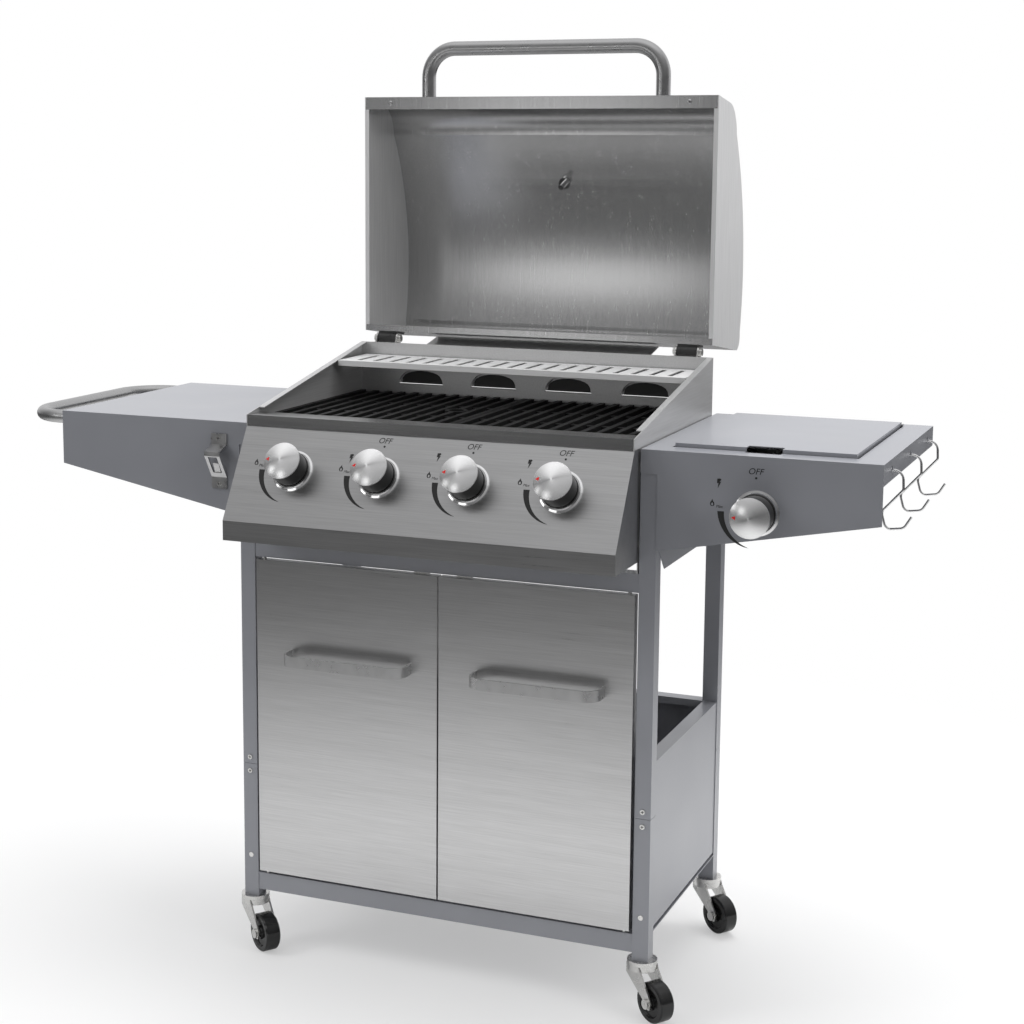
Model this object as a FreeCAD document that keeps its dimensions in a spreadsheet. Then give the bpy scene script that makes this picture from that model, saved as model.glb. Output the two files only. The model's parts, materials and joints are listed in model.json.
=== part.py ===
"""Trolley gas barbecue grill: cart, cabinet, firebox, lid, side shelves and casters.

Millimetres. X runs to the right of someone facing the control panel, Y to the back, Z up.
The pieces are drawn about the cart: x = 0 midway between the legs, y = 0 on the front faces
of the front legs, z = 0 on the floor. Each finished sub-part is then placed about the middle
of the grill's footprint.
"""
import FreeCAD, Part
import math
import os
import re
import Sketcher

Vector = FreeCAD.Vector
X_AXIS, Y_AXIS, Z_AXIS = Vector(1, 0, 0), Vector(0, 1, 0), Vector(0, 0, 1)

# ---------------------------------------------------------------- driving dimensions

SIZES = [
    ("origin_x", -32.5, "footprint middle, from the cart middle"),
    ("origin_y", 205.1, "footprint middle, from the front leg faces"),
    ("sheet_steel", 1.2, "thickness of the folded sheet"),
    ("fit_gap", 0.5, "gap between fitted pieces that move"),
    # cart
    ("cart_width", 600, "outer width over the legs"),
    ("cart_depth", 342, "outer depth over the legs"),
    ("leg_size", 22, "outer side of the square leg tube"),
    ("leg_wall", 1.5, "leg tube wall"),
    ("leg_length", 676, "both leg pieces together"),
    ("leg_split", 194, "length of the lower leg piece"),
    ("spigot_reach", 30, "how far the lower leg piece enters the upper one"),
    ("rail_height", 25, "height of the rail tubes"),
    ("rail_depth", 20, "depth of the rail tubes"),
    ("rail_inset", 1, "rail face behind the leg face"),
    ("low_rail_rise", 10, "low rails above the leg ends"),
    ("top_rail_drop", 182, "top rails' undersides below the leg tops"),
    ("low_panel_top", 266.5, "low panel tops above the leg ends"),
    ("low_panel_rise", 40.5, "low panel bottoms above the leg ends"),
    ("low_panel_flange", 20, "width of the top flanges"),
    ("panel_inset", 2, "rear panel in front of the leg's rear face"),
    # doors
    ("door_depth", 14, "door box depth"),
    ("door_proud", 3, "door faces in front of the legs"),
    ("door_side_gap", 4, "door edge to leg"),
    ("door_middle_gap", 2.4, "between the two doors"),
    ("door_top_gap", 3, "under the top rail"),
    ("door_bottom_gap", 4.5, "over the low rail"),
    ("door_pin_inset", 9, "pivot pin from the door's outer edge"),
    ("door_pin_radius", 2.5, "pivot pin"),
    ("pin_clearance", 0.06, "radial clearance of pins and shafts"),
    ("pull_width", 183, "door handle width"),
    ("pull_height", 15, "door handle strap height"),
    ("pull_stand", 36, "door handle stand-off"),
    ("pull_strap", 3, "door handle strap thickness"),
    ("pull_corner", 22, "door handle outer corner radius"),
    ("pull_shift", 7, "door handle to the right of the door's middle"),
    ("pull_level", 360, "door handle middle above the leg ends"),
    ("firebox_gap", 2, "firebox wall to leg"),
    ("box_inset", 0.4, "firebox rear face in front of the leg's rear face"),
    ("rim_rise", 66.7, "firebox rear wall above the front ledge"),
    ("ledge_over_leg", 20, "front ledge above the leg tops"),
    # firebox
    ("firebox_front", -22.8, "front face of the trim ledge"),
    ("trim_height", 15.4, "front trim strip height"),
    ("ledge_back", 12, "rear edge of the front ledge"),
    ("rim_flange", 9, "inward flange on the firebox side walls"),
    ("tray_under_leg", 121, "grease tray below the leg tops"),
    ("tray_depth", 24, "grease tray depth"),
    ("tray_ledge", 12, "width of the grease tray runners"),
    ("cup_radius", 30, "grease cup"),
    ("cup_height", 27, "grease cup"),
    ("louvre_width", 72, "D-shaped louvre"),
    ("louvre_height", 20, "D-shaped louvre"),
    ("louvre_share", 0.2132, "louvre spacing as a share of the firebox width"),
    ("louvre_over_leg", 26, "louvres' flat edges above the leg tops"),
    ("louvre_out", 7, "how far the louvre hoods stand out"),
    ("stop_reach", 65, "rear stop plate behind the rear wall"),
    ("stop_share", 0.641, "rear stop plate as a share of the firebox width"),
    # control panel
    ("panel_drop", 119.2, "height of the slanted face"),
    ("panel_tilt", 30.6, "slanted face off vertical"),
    ("panel_lip", 27, "height of the vertical lip"),
    ("knob_down", 61, "knob centres below the top edge, along the slope"),
    ("knob_share", 0.2294, "knob spacing as a share of the firebox width"),
    ("knob_radius", 24, "knob skirt at its foot"),
    ("knob_cap_radius", 25.5, "knob cap"),
    ("knob_skirt", 27, "height of the knob skirt"),
    ("knob_cap", 8, "height of the knob cap"),
    ("knob_dome", 6, "height of the dome on the knob cap"),
    ("knob_stand", 9, "knob foot above the panel"),
    ("knob_push", 3, "push-in travel"),
    ("bezel_radius", 29, "bezel outer radius"),
    ("bezel_height", 5, "bezel height"),
    ("stem_radius", 4, "valve stem"),
    ("valve_depth", 36, "valve body behind the panel"),
    ("valve_radius", 13, "valve body"),
    ("manifold_radius", 10, "gas manifold tube"),
    ("manifold_inset", 16, "ends of the gas manifold from the firebox sides"),
    ("inlet_radius", 7, "gas inlet spigot"),
    ("inlet_reach", 18, "gas inlet spigot below its collar"),
    ("inlet_collar", 3, "gas inlet collar below the manifold"),
    # burners, grates
    ("burner_radius", 13, "burner tube"),
    ("burner_under_leg", 62, "burner centres below the leg tops"),
    ("tamer_width", 92, "flame tamer width"),
    ("tamer_height", 22, "flame tamer height"),
    ("tamer_under_leg", 36, "flame tamers below the leg tops"),
    ("grate_thick", 12, "grate bar height"),
    ("grate_bar", 8, "grate bar width"),
    ("grate_over_leg", 14, "grate tops above the leg tops"),
    ("grate_bars", 13, "bars in each grate"),
    ("ring_radius", 16.5, "lifting ring in the left grate"),
    ("grate_front", 16, "front edge of the grates"),
    ("rack_depth", 98, "warming rack depth"),
    ("rack_behind", 103.6, "rack front edge to the firebox rear"),
    ("rack_over_ledge", 48.5, "rack above the front ledge"),
    ("rack_lip", 8, "folded front lip of the warming rack"),
    ("rack_slots", 19, "slots in the warming rack"),
    # lid
    ("lid_rim_offset", 2.5, "open rim plane in front of the hinge axis"),
    ("lid_inset", 3.15, "lid end to the firebox side, on the outside"),
    ("lid_span_share", 0.9613, "open rim length as a share of the firebox depth"),
    ("hinge_behind", 10.4, "hinge axis behind the firebox"),
    ("hinge_over_rim", 5.8, "hinge axis above the firebox rear wall"),
    ("hinge_inset", 40.4, "hinge middles from the firebox sides"),
    ("lid_rim_low", 11, "open rim's lower edge above the hinge axis"),
    ("lid_back_depth", 134, "rear wall of the lid"),
    ("lid_back_drop", 20, "slope of the lid's rear wall"),
    ("lid_crown_low", 16, "where the top curve starts"),
    ("lid_crown_depth", 149, "depth where the top curve starts"),
    ("lid_crown_radius", 390, "radius of the top curve"),
    ("lid_brow_drop", 54.3, "end of the top curve below the rim's upper edge"),
    ("lid_brow_depth", 103, "depth where the top curve ends"),
    ("lid_brow_radius", 48, "radius of the front curve"),
    ("lid_face_depth", 66, "depth of the lid's front face"),
    ("lid_face_drop", 9.8, "slope of the lid's front face"),
    ("lid_back_radius", 20, "radius of the rear curve"),
    ("lid_front_flange", 18, "folded front rim"),
    ("lid_back_flange", 9, "folded rear rim"),
    ("lid_end_flange", 6.5, "folded side rims"),
    ("lid_handle_tube", 21, "lid handle tube"),
    ("lid_handle_share", 0.66, "lid handle spacing as a share of the firebox width"),
    ("lid_handle_stand", 71.2, "lid handle centre line beyond the rim's upper edge"),
    ("gauge_from_rim", 125.3, "thermometer below the rim's upper edge"),
    ("lid_handle_depth", 33, "lid handle behind the open rim"),
    ("lid_handle_bend", 42, "lid handle bend radius"),
    ("gauge_radius", 30, "thermometer dial"),
    ("gauge_depth", 13, "thermometer dial thickness"),
    ("hinge_pin_radius", 3, "hinge bolt"),
    ("knuckle_radius", 8, "hinge knuckle"),
    ("knuckle_length", 30, "hinge knuckle"),
    ("ear_thick", 2.5, "hinge bracket ears"),
    # shelves
    ("shelf_inner_height", 130, "front panel height at the leg"),
    ("shelf_over_leg", 5, "shelf tops above the leg tops"),
    ("shelf_length_left", 288, "left shelf beyond the leg"),
    ("shelf_length_right", 283, "right shelf beyond the leg"),
    ("shelf_behind", 18, "shelf rear edge behind the legs"),
    ("bracket_height", 160, "inner bracket plate below the shelf top"),
    ("shelf_outer_height", 76, "front panel height at the outer end"),
    ("shelf_lip", 27, "outer end lip height"),
    ("shelf_notch", 31, "front panel height over the leg"),
    ("bar_tube", 19, "grab handle tube"),
    ("bar_reach", 78, "grab handle beyond the shelf"),
    ("bar_inset", 22, "grab handle legs from the shelf's front and back"),
    ("bar_drop", 12.5, "grab handle centre below the shelf top"),
    ("bar_bend", 62, "grab handle bend radius"),
    ("opener_height", 77, "bottle opener"),
    ("opener_from_leg", 31, "bottle opener middle beyond the leg"),
    ("opener_drop", 56, "bottle opener middle below the shelf top"),
    ("opener_width", 24, "bottle opener"),
    ("opener_stand", 22, "bottle opener jaw stand-off"),
    # side burner
    ("cover_front", 36, "side burner cover"),
    ("cover_from_leg", 12, "cover's inner edge beyond the leg"),
    ("cover_from_end", 40, "cover's outer edge from the shelf end"),
    ("cover_from_back", 18, "cover's rear edge from the shelf rear"),
    ("cover_rise", 5, "cover top above the shelf"),
    ("cover_gap", 3, "cover edge to recess edge"),
    ("bowl_depth", 34, "side burner bowl"),
    ("finger_width", 46, "finger cut-out in the cover"),
    ("side_knob_from_leg", 129, "side knob centre beyond the leg"),
    ("side_knob_drop", 71, "side knob centre below the shelf top"),
    # hooks
    ("hook_wire", 3, "hook wire diameter"),
    ("hook_pitch", 130, "between hooks"),
    ("hook_hole", 4, "radius of the holes the hooks hang in"),
    # casters
    ("wheel_radius", 27, "caster wheel"),
    ("caster_over_wheel", 22, "leg ends above the wheel tops"),
    ("caster_height", "=2 * wheel_radius + caster_over_wheel", "floor to leg ends"),
    ("wheel_width", 22, "caster wheel"),
    ("wheel_trail", 30, "caster wheel behind its stem"),
    ("axle_radius", 4, "caster axle"),
    ("race_radius", 20, "caster ball race"),
    ("race_height", 8, "caster ball race"),
    ("swivel_radius", 5, "caster stem"),
    ("caster_turn", -35, "rest heading of the casters, from +X"),
    ("screw_head", 3.4, "radius of the screw heads"),
]

doc = FreeCAD.newDocument("gas_grill")
sheet = doc.addObject("Spreadsheet::Sheet", "Sizes")
for row, (alias, number, meaning) in enumerate(SIZES, start=1):
    sheet.set("A%d" % row, meaning)
    sheet.set("B%d" % row, str(number))
    sheet.setAlias("B%d" % row, alias)
doc.recompute()

ALIAS = re.compile(r"\b(" + "|".join(sorted((row[0] for row in SIZES), key=len, reverse=True)) + r")\b")

# ---------------------------------------------------------------- helpers


def bound(expression):
    """The expression with each size's name pointed at the sheet."""
    return ALIAS.sub(r"Sizes.\1", str(expression))


def value(expression):
    """The number an expression stands for at the present sizes."""
    return float(sheet.evalExpression(bound(expression)))


def tie(item, **properties):
    for name, expression in properties.items():
        item.setExpression(name.replace("__", "."), bound(expression))


def place(item, x, y, z, turn=None):
    """Bind an object's position; turn is (axis, degrees)."""
    if turn:
        item.Placement = FreeCAD.Placement(Vector(), FreeCAD.Rotation(turn[0], value(turn[1])))
    tie(item, Placement__Base__x=x, Placement__Base__y=y, Placement__Base__z=z)
    return item


def block(x0, x1, y0, y1, z0, z1):
    """A box between two planes in each direction."""
    item = doc.addObject("Part::Box", "Block")
    tie(item, Length="(%s) - (%s)" % (x1, x0), Width="(%s) - (%s)" % (y1, y0), Height="(%s) - (%s)" % (z1, z0))
    return place(item, x0, y0, z0)


ALONG = {"X": (Y_AXIS, 90), "Y": (X_AXIS, -90), "Z": None}


def rod(x, y, z, radius, length, along="Z"):
    """A cylinder from a point, along +X, +Y or +Z."""
    item = doc.addObject("Part::Cylinder", "Rod")
    tie(item, Radius=radius, Height=length)
    return place(item, x, y, z, ALONG[along])



def joined(*items):
    if len(items) == 1:
        return items[0]
    item = doc.addObject("Part::MultiFuse", "Joined")
    item.Shapes = list(items)
    item.Refine = True
    return item


def cut(base, *tools):
    item = doc.addObject("Part::Cut", "Cut")
    item.Base = base
    item.Tool = joined(*tools)
    return item



def solid_of(shape, name="Formed"):
    """A piece whose shape has no ready-made feature."""
    item = doc.addObject("Part::Feature", name)
    item.Shape = shape
    return item


def arc_middle(start, end, radius):
    """The middle point of the short arc that bulges to the right of start to end."""
    (x0, y0), (x1, y1) = start, end
    chord = math.hypot(x1 - x0, y1 - y0)
    rise = abs(radius) - math.sqrt(radius * radius - chord * chord / 4)
    rise = math.copysign(rise, radius)
    return ((x0 + x1) / 2 + (y1 - y0) / chord * rise, (y0 + y1) / 2 - (x1 - x0) / chord * rise)


def draw_outline(sketch, corners):
    """Close a loop through corners (u, v) or (u, v, radius of the arc that leaves the corner)."""
    points = [(value(corner[0]), value(corner[1])) for corner in corners]
    first = sketch.GeometryCount
    count = len(corners)
    edges = []
    for index, corner in enumerate(corners):
        start, end = points[index], points[(index + 1) % count]
        if len(corner) > 2:
            middle = arc_middle(start, end, value(corner[2]))
            edges.append(Part.Arc(Vector(*start, 0), Vector(*middle, 0), Vector(*end, 0)))
        else:
            edges.append(Part.LineSegment(Vector(*start, 0), Vector(*end, 0)))
    sketch.addGeometry(edges, False)
    ends = []
    for index in range(count):
        edge = sketch.Geometry[first + index]
        straight = edge.StartPoint.distanceToPoint(Vector(*points[index], 0)) < 1e-6
        ends.append((1, 2) if straight else (2, 1))
    for index in range(count):
        following = (index + 1) % count
        sketch.addConstraint(Sketcher.Constraint(
            "Coincident", first + index, ends[index][1], first + following, ends[following][0]))
    for index, corner in enumerate(corners):
        for kind, number, expression in (("DistanceX", points[index][0], corner[0]),
                                         ("DistanceY", points[index][1], corner[1])):
            place_id = sketch.addConstraint(Sketcher.Constraint(
                kind, -1, 1, first + index, ends[index][0], number))
            sketch.setExpression("Constraints[%d]" % place_id, bound(expression))
        if len(corner) > 2:
            radius_id = sketch.addConstraint(Sketcher.Constraint(
                "Radius", first + index, abs(value(corner[2]))))
            sketch.setExpression("Constraints[%d]" % radius_id, bound("abs(%s)" % corner[2]))


def sketch_in(body, plane):
    sketch = body.newObject("Sketcher::SketchObject", "Outline")
    origin_plane = [item for item in body.Origin.OriginFeatures if item.Role == plane + "_Plane"][0]
    sketch.AttachmentSupport = [(origin_plane, "")]
    sketch.MapMode = "FlatFace"
    return sketch


def padded(plane, corners, start, length, loops=()):
    """A body padded from an outline in the XY, XZ or YZ plane, from start by length."""
    body = doc.addObject("PartDesign::Body", "Body")
    sketch = sketch_in(body, plane)
    draw_outline(sketch, corners)
    for loop in loops:
        draw_outline(sketch, loop)
    pad = body.newObject("PartDesign::Pad", "Pad")
    pad.Profile = sketch
    tie(pad, Length=length)
    pad.Reversed = plane == "XZ"
    body.Tip = pad
    offsets = {"XY": (0, 0, start), "XZ": (0, start, 0), "YZ": (start, 0, 0)}
    return place(body, *offsets[plane])


def revolved(corners):
    """A body turned about its own Z axis from an outline of (radius, height) corners."""
    body = doc.addObject("PartDesign::Body", "Turned")
    sketch = sketch_in(body, "XZ")
    draw_outline(sketch, corners)
    turn = body.newObject("PartDesign::Revolution", "Revolution")
    turn.Profile = sketch
    turn.ReferenceAxis = (sketch, ["V_Axis"])
    turn.Angle = 360
    body.Tip = turn
    return body


def hollowed(body, wall, open_towards):
    """Turn a padded body into sheet, taking away the faces that look along the given ways."""
    doc.recompute()
    solid = body.Tip
    names = []
    for index, face in enumerate(solid.Shape.Faces, start=1):
        u0, u1, v0, v1 = face.ParameterRange
        normal = face.normalAt((u0 + u1) / 2, (v0 + v1) / 2)
        if any(normal.dot(Vector(*way)) > 0.8 for way in open_towards):
            names.append("Face%d" % index)
    thickness = body.newObject("PartDesign::Thickness", "Sheet")
    thickness.Base = (solid, names)
    tie(thickness, Value=wall)
    thickness.Reversed = True
    thickness.Join = 1
    body.Tip = thickness
    return body


def bent_path(corners, radius):
    """Straight runs joined by tangent arcs; radius is one number or one for each inner corner."""
    points = [Vector(*corner) for corner in corners]
    radii = [radius] * (len(points) - 2) if isinstance(radius, (int, float)) else list(radius)
    edges, last = [], points[0]
    for before, corner, after, bend in zip(points, points[1:], points[2:], radii):
        back, ahead = (before - corner).normalize(), (after - corner).normalize()
        turn = math.pi - back.getAngle(ahead)
        reach = bend * math.tan(turn / 2)
        start, end = corner + back * reach, corner + ahead * reach
        inward = (back + ahead).normalize()
        middle = corner + inward * (bend / math.cos(turn / 2) - bend)
        if last.distanceToPoint(start) > 1e-4:
            edges.append(Part.LineSegment(last, start).toShape())
        edges.append(Part.Arc(start, middle, end).toShape())
        last = end
    edges.append(Part.LineSegment(last, points[-1]).toShape())
    return Part.Wire(edges)


def bent_bar(corners, radius, section_radius, bore_radius=0):
    """A round bar or tube along a bent path."""
    path = bent_path(corners, radius)
    start = Vector(*corners[0])
    heading = Vector(*corners[1]) - start
    bar = None
    for ring in (section_radius, bore_radius):
        if ring <= 0:
            continue
        section = Part.Wire([Part.makeCircle(ring, start, heading)])
        swept = path.makePipeShell([section], True, False)
        bar = swept if bar is None else bar.cut(swept)
    return solid_of(bar, "Bent")


NODES = {}


def sub_part(label, *pieces):
    """Gather the finished pieces of one sub-part and place them in the grill's own frame."""
    item = doc.addObject("Part::Compound", label)
    item.Label = label
    item.Links = list(pieces)
    place(item, "-origin_x", "-origin_y", 0)
    NODES[label] = item
    return item


def mirrored(item):
    """The same piece on the other side of the cart's middle plane."""
    other = doc.addObject("Part::Mirroring", "Mirrored")
    other.Source = item
    other.Base = Vector(0, 0, 0)
    other.Normal = X_AXIS
    return other



# ---------------------------------------------------------------- shared levels and lines

HALF = "(cart_width / 2)"
LEG_FOOT = "caster_height"
LEG_TOP = "(caster_height + leg_length)"
SPLIT = "(caster_height + leg_split)"
LEG_IN = "(cart_width / 2 - leg_size)"
LOW_RAIL = "(caster_height + low_rail_rise)"
LOW_RAIL_TOP = "(caster_height + low_rail_rise + rail_height)"
TOP_RAIL = "(%s - top_rail_drop)" % LEG_TOP
TOP_RAIL_TOP = "(%s + rail_height)" % TOP_RAIL
BOX_HALF = "(%s - firebox_gap)" % LEG_IN
BOX_INNER = "(%s - sheet_steel)" % BOX_HALF
BOX_BACK = "(cart_depth - box_inset)"
BOX_BACK_IN = "(%s - sheet_steel)" % BOX_BACK
RIM_FRONT = "(%s + ledge_over_leg)" % LEG_TOP
RIM_BACK = "(%s + rim_rise)" % RIM_FRONT
LEDGE_LOW = "(%s - trim_height)" % RIM_FRONT
RIM_SLOPE = "(rim_rise / (%s - firebox_front))" % BOX_BACK
TRAY = "(%s - tray_under_leg)" % LEG_TOP
WALL_FOOT = "(%s + tray_depth + 4)" % TRAY
BURNER = "(%s - burner_under_leg)" % LEG_TOP
TAMER = "(%s - tamer_under_leg)" % LEG_TOP
GRATE = "(%s + grate_over_leg)" % LEG_TOP
RACK = "(%s + rack_over_ledge)" % RIM_FRONT
RACK_FRONT = "(%s - rack_behind)" % BOX_BACK
HINGE_X = "(%s - hinge_inset)" % BOX_HALF
HINGE_Y = "(%s + hinge_behind)" % BOX_BACK
HINGE_Z = "(%s + hinge_over_rim)" % RIM_BACK
LID_HALF = "(%s - lid_inset)" % BOX_HALF
LID_HIGH = "(lid_rim_low + lid_span_share * (%s - firebox_front))" % BOX_BACK
SHELF = "(%s + shelf_over_leg)" % LEG_TOP
SHELF_UNDER = "(%s - sheet_steel)" % SHELF
SHELF_FRONT = "(-sheet_steel)"
SHELF_BACK = "(cart_depth + shelf_behind)"
PANEL_RUN = "(panel_drop * tan(panel_tilt))"
PANEL_TOP_Y = "(firebox_front + 1)"
PANEL_FOOT_Y = "(%s - %s)" % (PANEL_TOP_Y, PANEL_RUN)
PANEL_FOOT = "(%s - panel_drop)" % LEDGE_LOW
PANEL_LOW = "(%s - panel_lip)" % PANEL_FOOT
KNOB_Y = "(%s - knob_down * sin(panel_tilt))" % PANEL_TOP_Y
KNOB_Z = "(%s - knob_down * cos(panel_tilt))" % LEDGE_LOW
KNOB_XS = ["(%g * 2 * %s * knob_share)" % (step, BOX_HALF) for step in (-1.5, -0.5, 0.5, 1.5)]
SIDES = {"left": -1, "right": 1}
CORNERS = {
    "front_left": ("-cart_width / 2 + leg_size / 2", "leg_size / 2"),
    "front_right": ("cart_width / 2 - leg_size / 2", "leg_size / 2"),
    "rear_left": ("-cart_width / 2 + leg_size / 2", "cart_depth - leg_size / 2"),
    "rear_right": ("cart_width / 2 - leg_size / 2", "cart_depth - leg_size / 2"),
}


def about(centre, half):
    return "%s - (%s)" % (centre, half), "%s + (%s)" % (centre, half)


def square_post(centre_x, centre_y, half, low, high):
    return block(*about(centre_x, half), *about(centre_y, half), low, high)


# ---------------------------------------------------------------- cart


def make_legs():
    bore = "(leg_size / 2 - leg_wall)"
    for corner, (x, y) in CORNERS.items():
        tube = cut(square_post(x, y, "leg_size / 2", LEG_FOOT, SPLIT),
                   square_post(x, y, bore, LEG_FOOT + " + leg_size", SPLIT + " + 1"),
                   rod(x, y, LEG_FOOT + " - 1", "swivel_radius + fit_gap", "leg_size + 2"))
        spigot = cut(square_post(x, y, bore, SPLIT + " - spigot_reach", SPLIT + " + spigot_reach"),
                     square_post(x, y, bore + " - leg_wall", SPLIT + " - spigot_reach - 1",
                                 SPLIT + " + spigot_reach + 1"))
        upper = cut(square_post(x, y, "leg_size / 2", SPLIT + " + fit_gap", LEG_TOP),
                    square_post(x, y, bore, SPLIT, LEG_TOP + " + 1"))
        sub_part("leg_" + corner, joined(tube, spigot), upper)


def rail(y0, low):
    y1 = "%s + rail_depth" % y0
    tube = block("-" + LEG_IN, LEG_IN, y0, y1, low, low + " + rail_height")
    bore = block("-%s - 1" % LEG_IN, "%s + 1" % LEG_IN, y0 + " + leg_wall", y1 + " - leg_wall",
                 low + " + leg_wall", low + " + rail_height - leg_wall")
    return cut(tube, bore)


def make_rails():
    rear = "(cart_depth - rail_inset - rail_depth)"
    sub_part("cart_rails", rail("rail_inset", LOW_RAIL), rail("rail_inset", TOP_RAIL),
             rail(rear, LOW_RAIL), rail(rear, TOP_RAIL))


def make_low_panels():
    back = "(cart_depth - panel_inset)"
    shelf = block("-" + HALF, HALF, "door_depth - door_proud + fit_gap", back + " - sheet_steel",
                  LOW_RAIL_TOP, LOW_RAIL_TOP + " + sheet_steel")
    notches = [square_post(x, y, "leg_size / 2", LEG_FOOT, LEG_TOP) for x, y in CORNERS.values()]
    sub_part("bottom_shelf", cut(shelf, *notches))

    low, top = "(caster_height + low_panel_rise)", "(caster_height + low_panel_top)"
    out = "(%s - 1)" % HALF
    y0, y1 = "leg_size", "cart_depth - leg_size"
    side = joined(
        block(out + " - sheet_steel", out, y0, y1, low, top),
        block(out + " - low_panel_flange", out, y0, y1, top + " - sheet_steel", top),
        block(out + " - low_panel_flange", out + " - low_panel_flange + sheet_steel", y0, y1,
              top + " - low_panel_flange / 2", top),
        block(out + " - low_panel_flange / 2", out, y0, y1, low, low + " + sheet_steel"))
    sub_part("side_panels", side, mirrored(side))

    rear = joined(
        block("-" + LEG_IN, LEG_IN, back + " - sheet_steel", back, LOW_RAIL_TOP, top),
        block("-" + LEG_IN, LEG_IN, back + " - low_panel_flange", back, top + " - sheet_steel", top),
        block("-" + LEG_IN, LEG_IN, back + " - low_panel_flange",
              back + " - low_panel_flange + sheet_steel", top + " - low_panel_flange / 2", top))
    sub_part("rear_panel", rear)


# ---------------------------------------------------------------- doors

DOOR_LOW = "(%s + door_bottom_gap)" % LOW_RAIL_TOP
DOOR_TOP = "(%s - door_top_gap)" % TOP_RAIL
DOOR_FACE, DOOR_BACK = "(-door_proud)", "(door_depth - door_proud)"
DOOR_OUTER, DOOR_INNER = "(%s - door_side_gap)" % LEG_IN, "(door_middle_gap / 2)"
DOOR_PIN_Y = "(door_depth / 2 - door_proud + 1)"
PULL_LEVEL = "(caster_height + pull_level)"
CATCH_INSET = 30
CATCH_HALF = 12


def door_pin_x(side):
    return "%d * (%s - door_pin_inset)" % (side, DOOR_OUTER)


def pull_middle(side):
    return "(%d * (%s + %s) / 2 + pull_shift)" % (side, DOOR_OUTER, DOOR_INNER)


def catch_x(side):
    return "%d * (%s + %d)" % (side, DOOR_INNER, CATCH_INSET)


def make_doors():
    for name, side in SIDES.items():
        x0, x1 = ("-" + DOOR_OUTER, "-" + DOOR_INNER) if side < 0 else (DOOR_INNER, DOOR_OUTER)
        tray = padded("XZ", [(x0, DOOR_LOW), (x1, DOOR_LOW), (x1, DOOR_TOP), (x0, DOOR_TOP)],
                      DOOR_FACE, "door_depth")
        skin = hollowed(tray, "sheet_steel", [(0, 1, 0)])
        bore = rod(door_pin_x(side), DOOR_PIN_Y, DOOR_LOW + " - 1", "door_pin_radius + pin_clearance",
                   "%s - %s + 2" % (DOOR_TOP, DOOR_LOW))
        strike = block(*about(catch_x(side), CATCH_HALF), DOOR_FACE + " + sheet_steel", DOOR_BACK,
                       DOOR_TOP + " - 26", DOOR_TOP + " - 10")
        sub_part("door_" + name, cut(skin, bore), strike)
        make_pull(name, pull_middle(side))


def pull_outline(middle, inward, end):
    """The plan of a door handle's bow, moved inward from its outer face, open towards the door."""
    x0, x1 = about(middle, "(pull_width / 2 - %s)" % inward)
    face, corner = "(%s - pull_stand + %s)" % (DOOR_FACE, inward), "(pull_corner - %s)" % inward
    bend_y = "%s + %s" % (face, corner)
    return [(x0, end), (x0, bend_y, corner), ("%s + %s" % (x0, corner), face),
            ("%s - %s" % (x1, corner), face, corner), (x1, bend_y), (x1, end)]


def make_pull(name, middle):
    low = PULL_LEVEL + " - pull_height / 2"
    bow = padded("XY", pull_outline(middle, "0", DOOR_FACE), low, "pull_height")
    grip = padded("XY", pull_outline(middle, "pull_strap", DOOR_FACE + " + 1"), low + " - 1", "pull_height + 2")
    sub_part("door_handle_" + name, cut(bow, grip))


# ---------------------------------------------------------------- firebox


def rim_at(y):
    """Height of the firebox's sloping top edge at a place along the depth."""
    return "(%s + (%s - firebox_front) * %s)" % (RIM_FRONT, y, RIM_SLOPE)


GRATE_REST = "(%s - grate_thick)" % GRATE
BURNER_MOUTH = "(ledge_back - 10)"


def ledge(x0, x1, y0, y1, top):
    return block(x0, x1, y0, y1, "%s - sheet_steel" % top, top)


def make_firebox_sides():
    wall = padded("YZ", [
        ("firebox_front", LEDGE_LOW + " + fit_gap"), ("0", LEDGE_LOW + " + fit_gap"),
        ("0", TOP_RAIL_TOP), (BOX_BACK, TOP_RAIL_TOP), (BOX_BACK, RIM_BACK),
        ("firebox_front", RIM_FRONT)], BOX_INNER, "sheet_steel")
    y0, y1 = "ledge_back", BOX_BACK_IN
    flange = padded("YZ", [
        (y0, rim_at(y0) + " - sheet_steel"), (y1, rim_at(y1) + " - sheet_steel"),
        (y1, rim_at(y1)), (y0, rim_at(y0))], BOX_HALF + " - rim_flange", "rim_flange")
    inset = BOX_HALF + " - tray_ledge"
    side = joined(
        wall, flange,
        ledge(inset, BOX_HALF, "30", y1, TRAY + " - fit_gap"),
        ledge(inset, BOX_HALF, y0 + " + tray_ledge", y1 + " - tray_ledge", GRATE_REST),
        ledge(inset, BOX_HALF, "30", y1, TAMER + " - sheet_steel"),
        ledge(inset, BOX_HALF, RACK_FRONT + " + 6", RACK_FRONT + " + 34", RACK + " - sheet_steel"))
    sub_part("firebox_right", side)
    sub_part("firebox_left", mirrored(side))


def louvre_outline(middle, grow):
    low = "%s + louvre_over_leg" % LEG_TOP
    half, high = "(louvre_width / 2 + %s)" % grow, "(louvre_height + %s)" % grow
    shoulder = "louvre_width / 4"
    return [
        ("%s - %s" % (middle, half), low), ("%s + %s" % (middle, half), low, high + " * 1.05"),
        ("%s + %s" % (middle, shoulder), "%s + %s" % (low, high)),
        ("%s - %s" % (middle, shoulder), "%s + %s" % (low, high), high + " * 1.05")]


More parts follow.
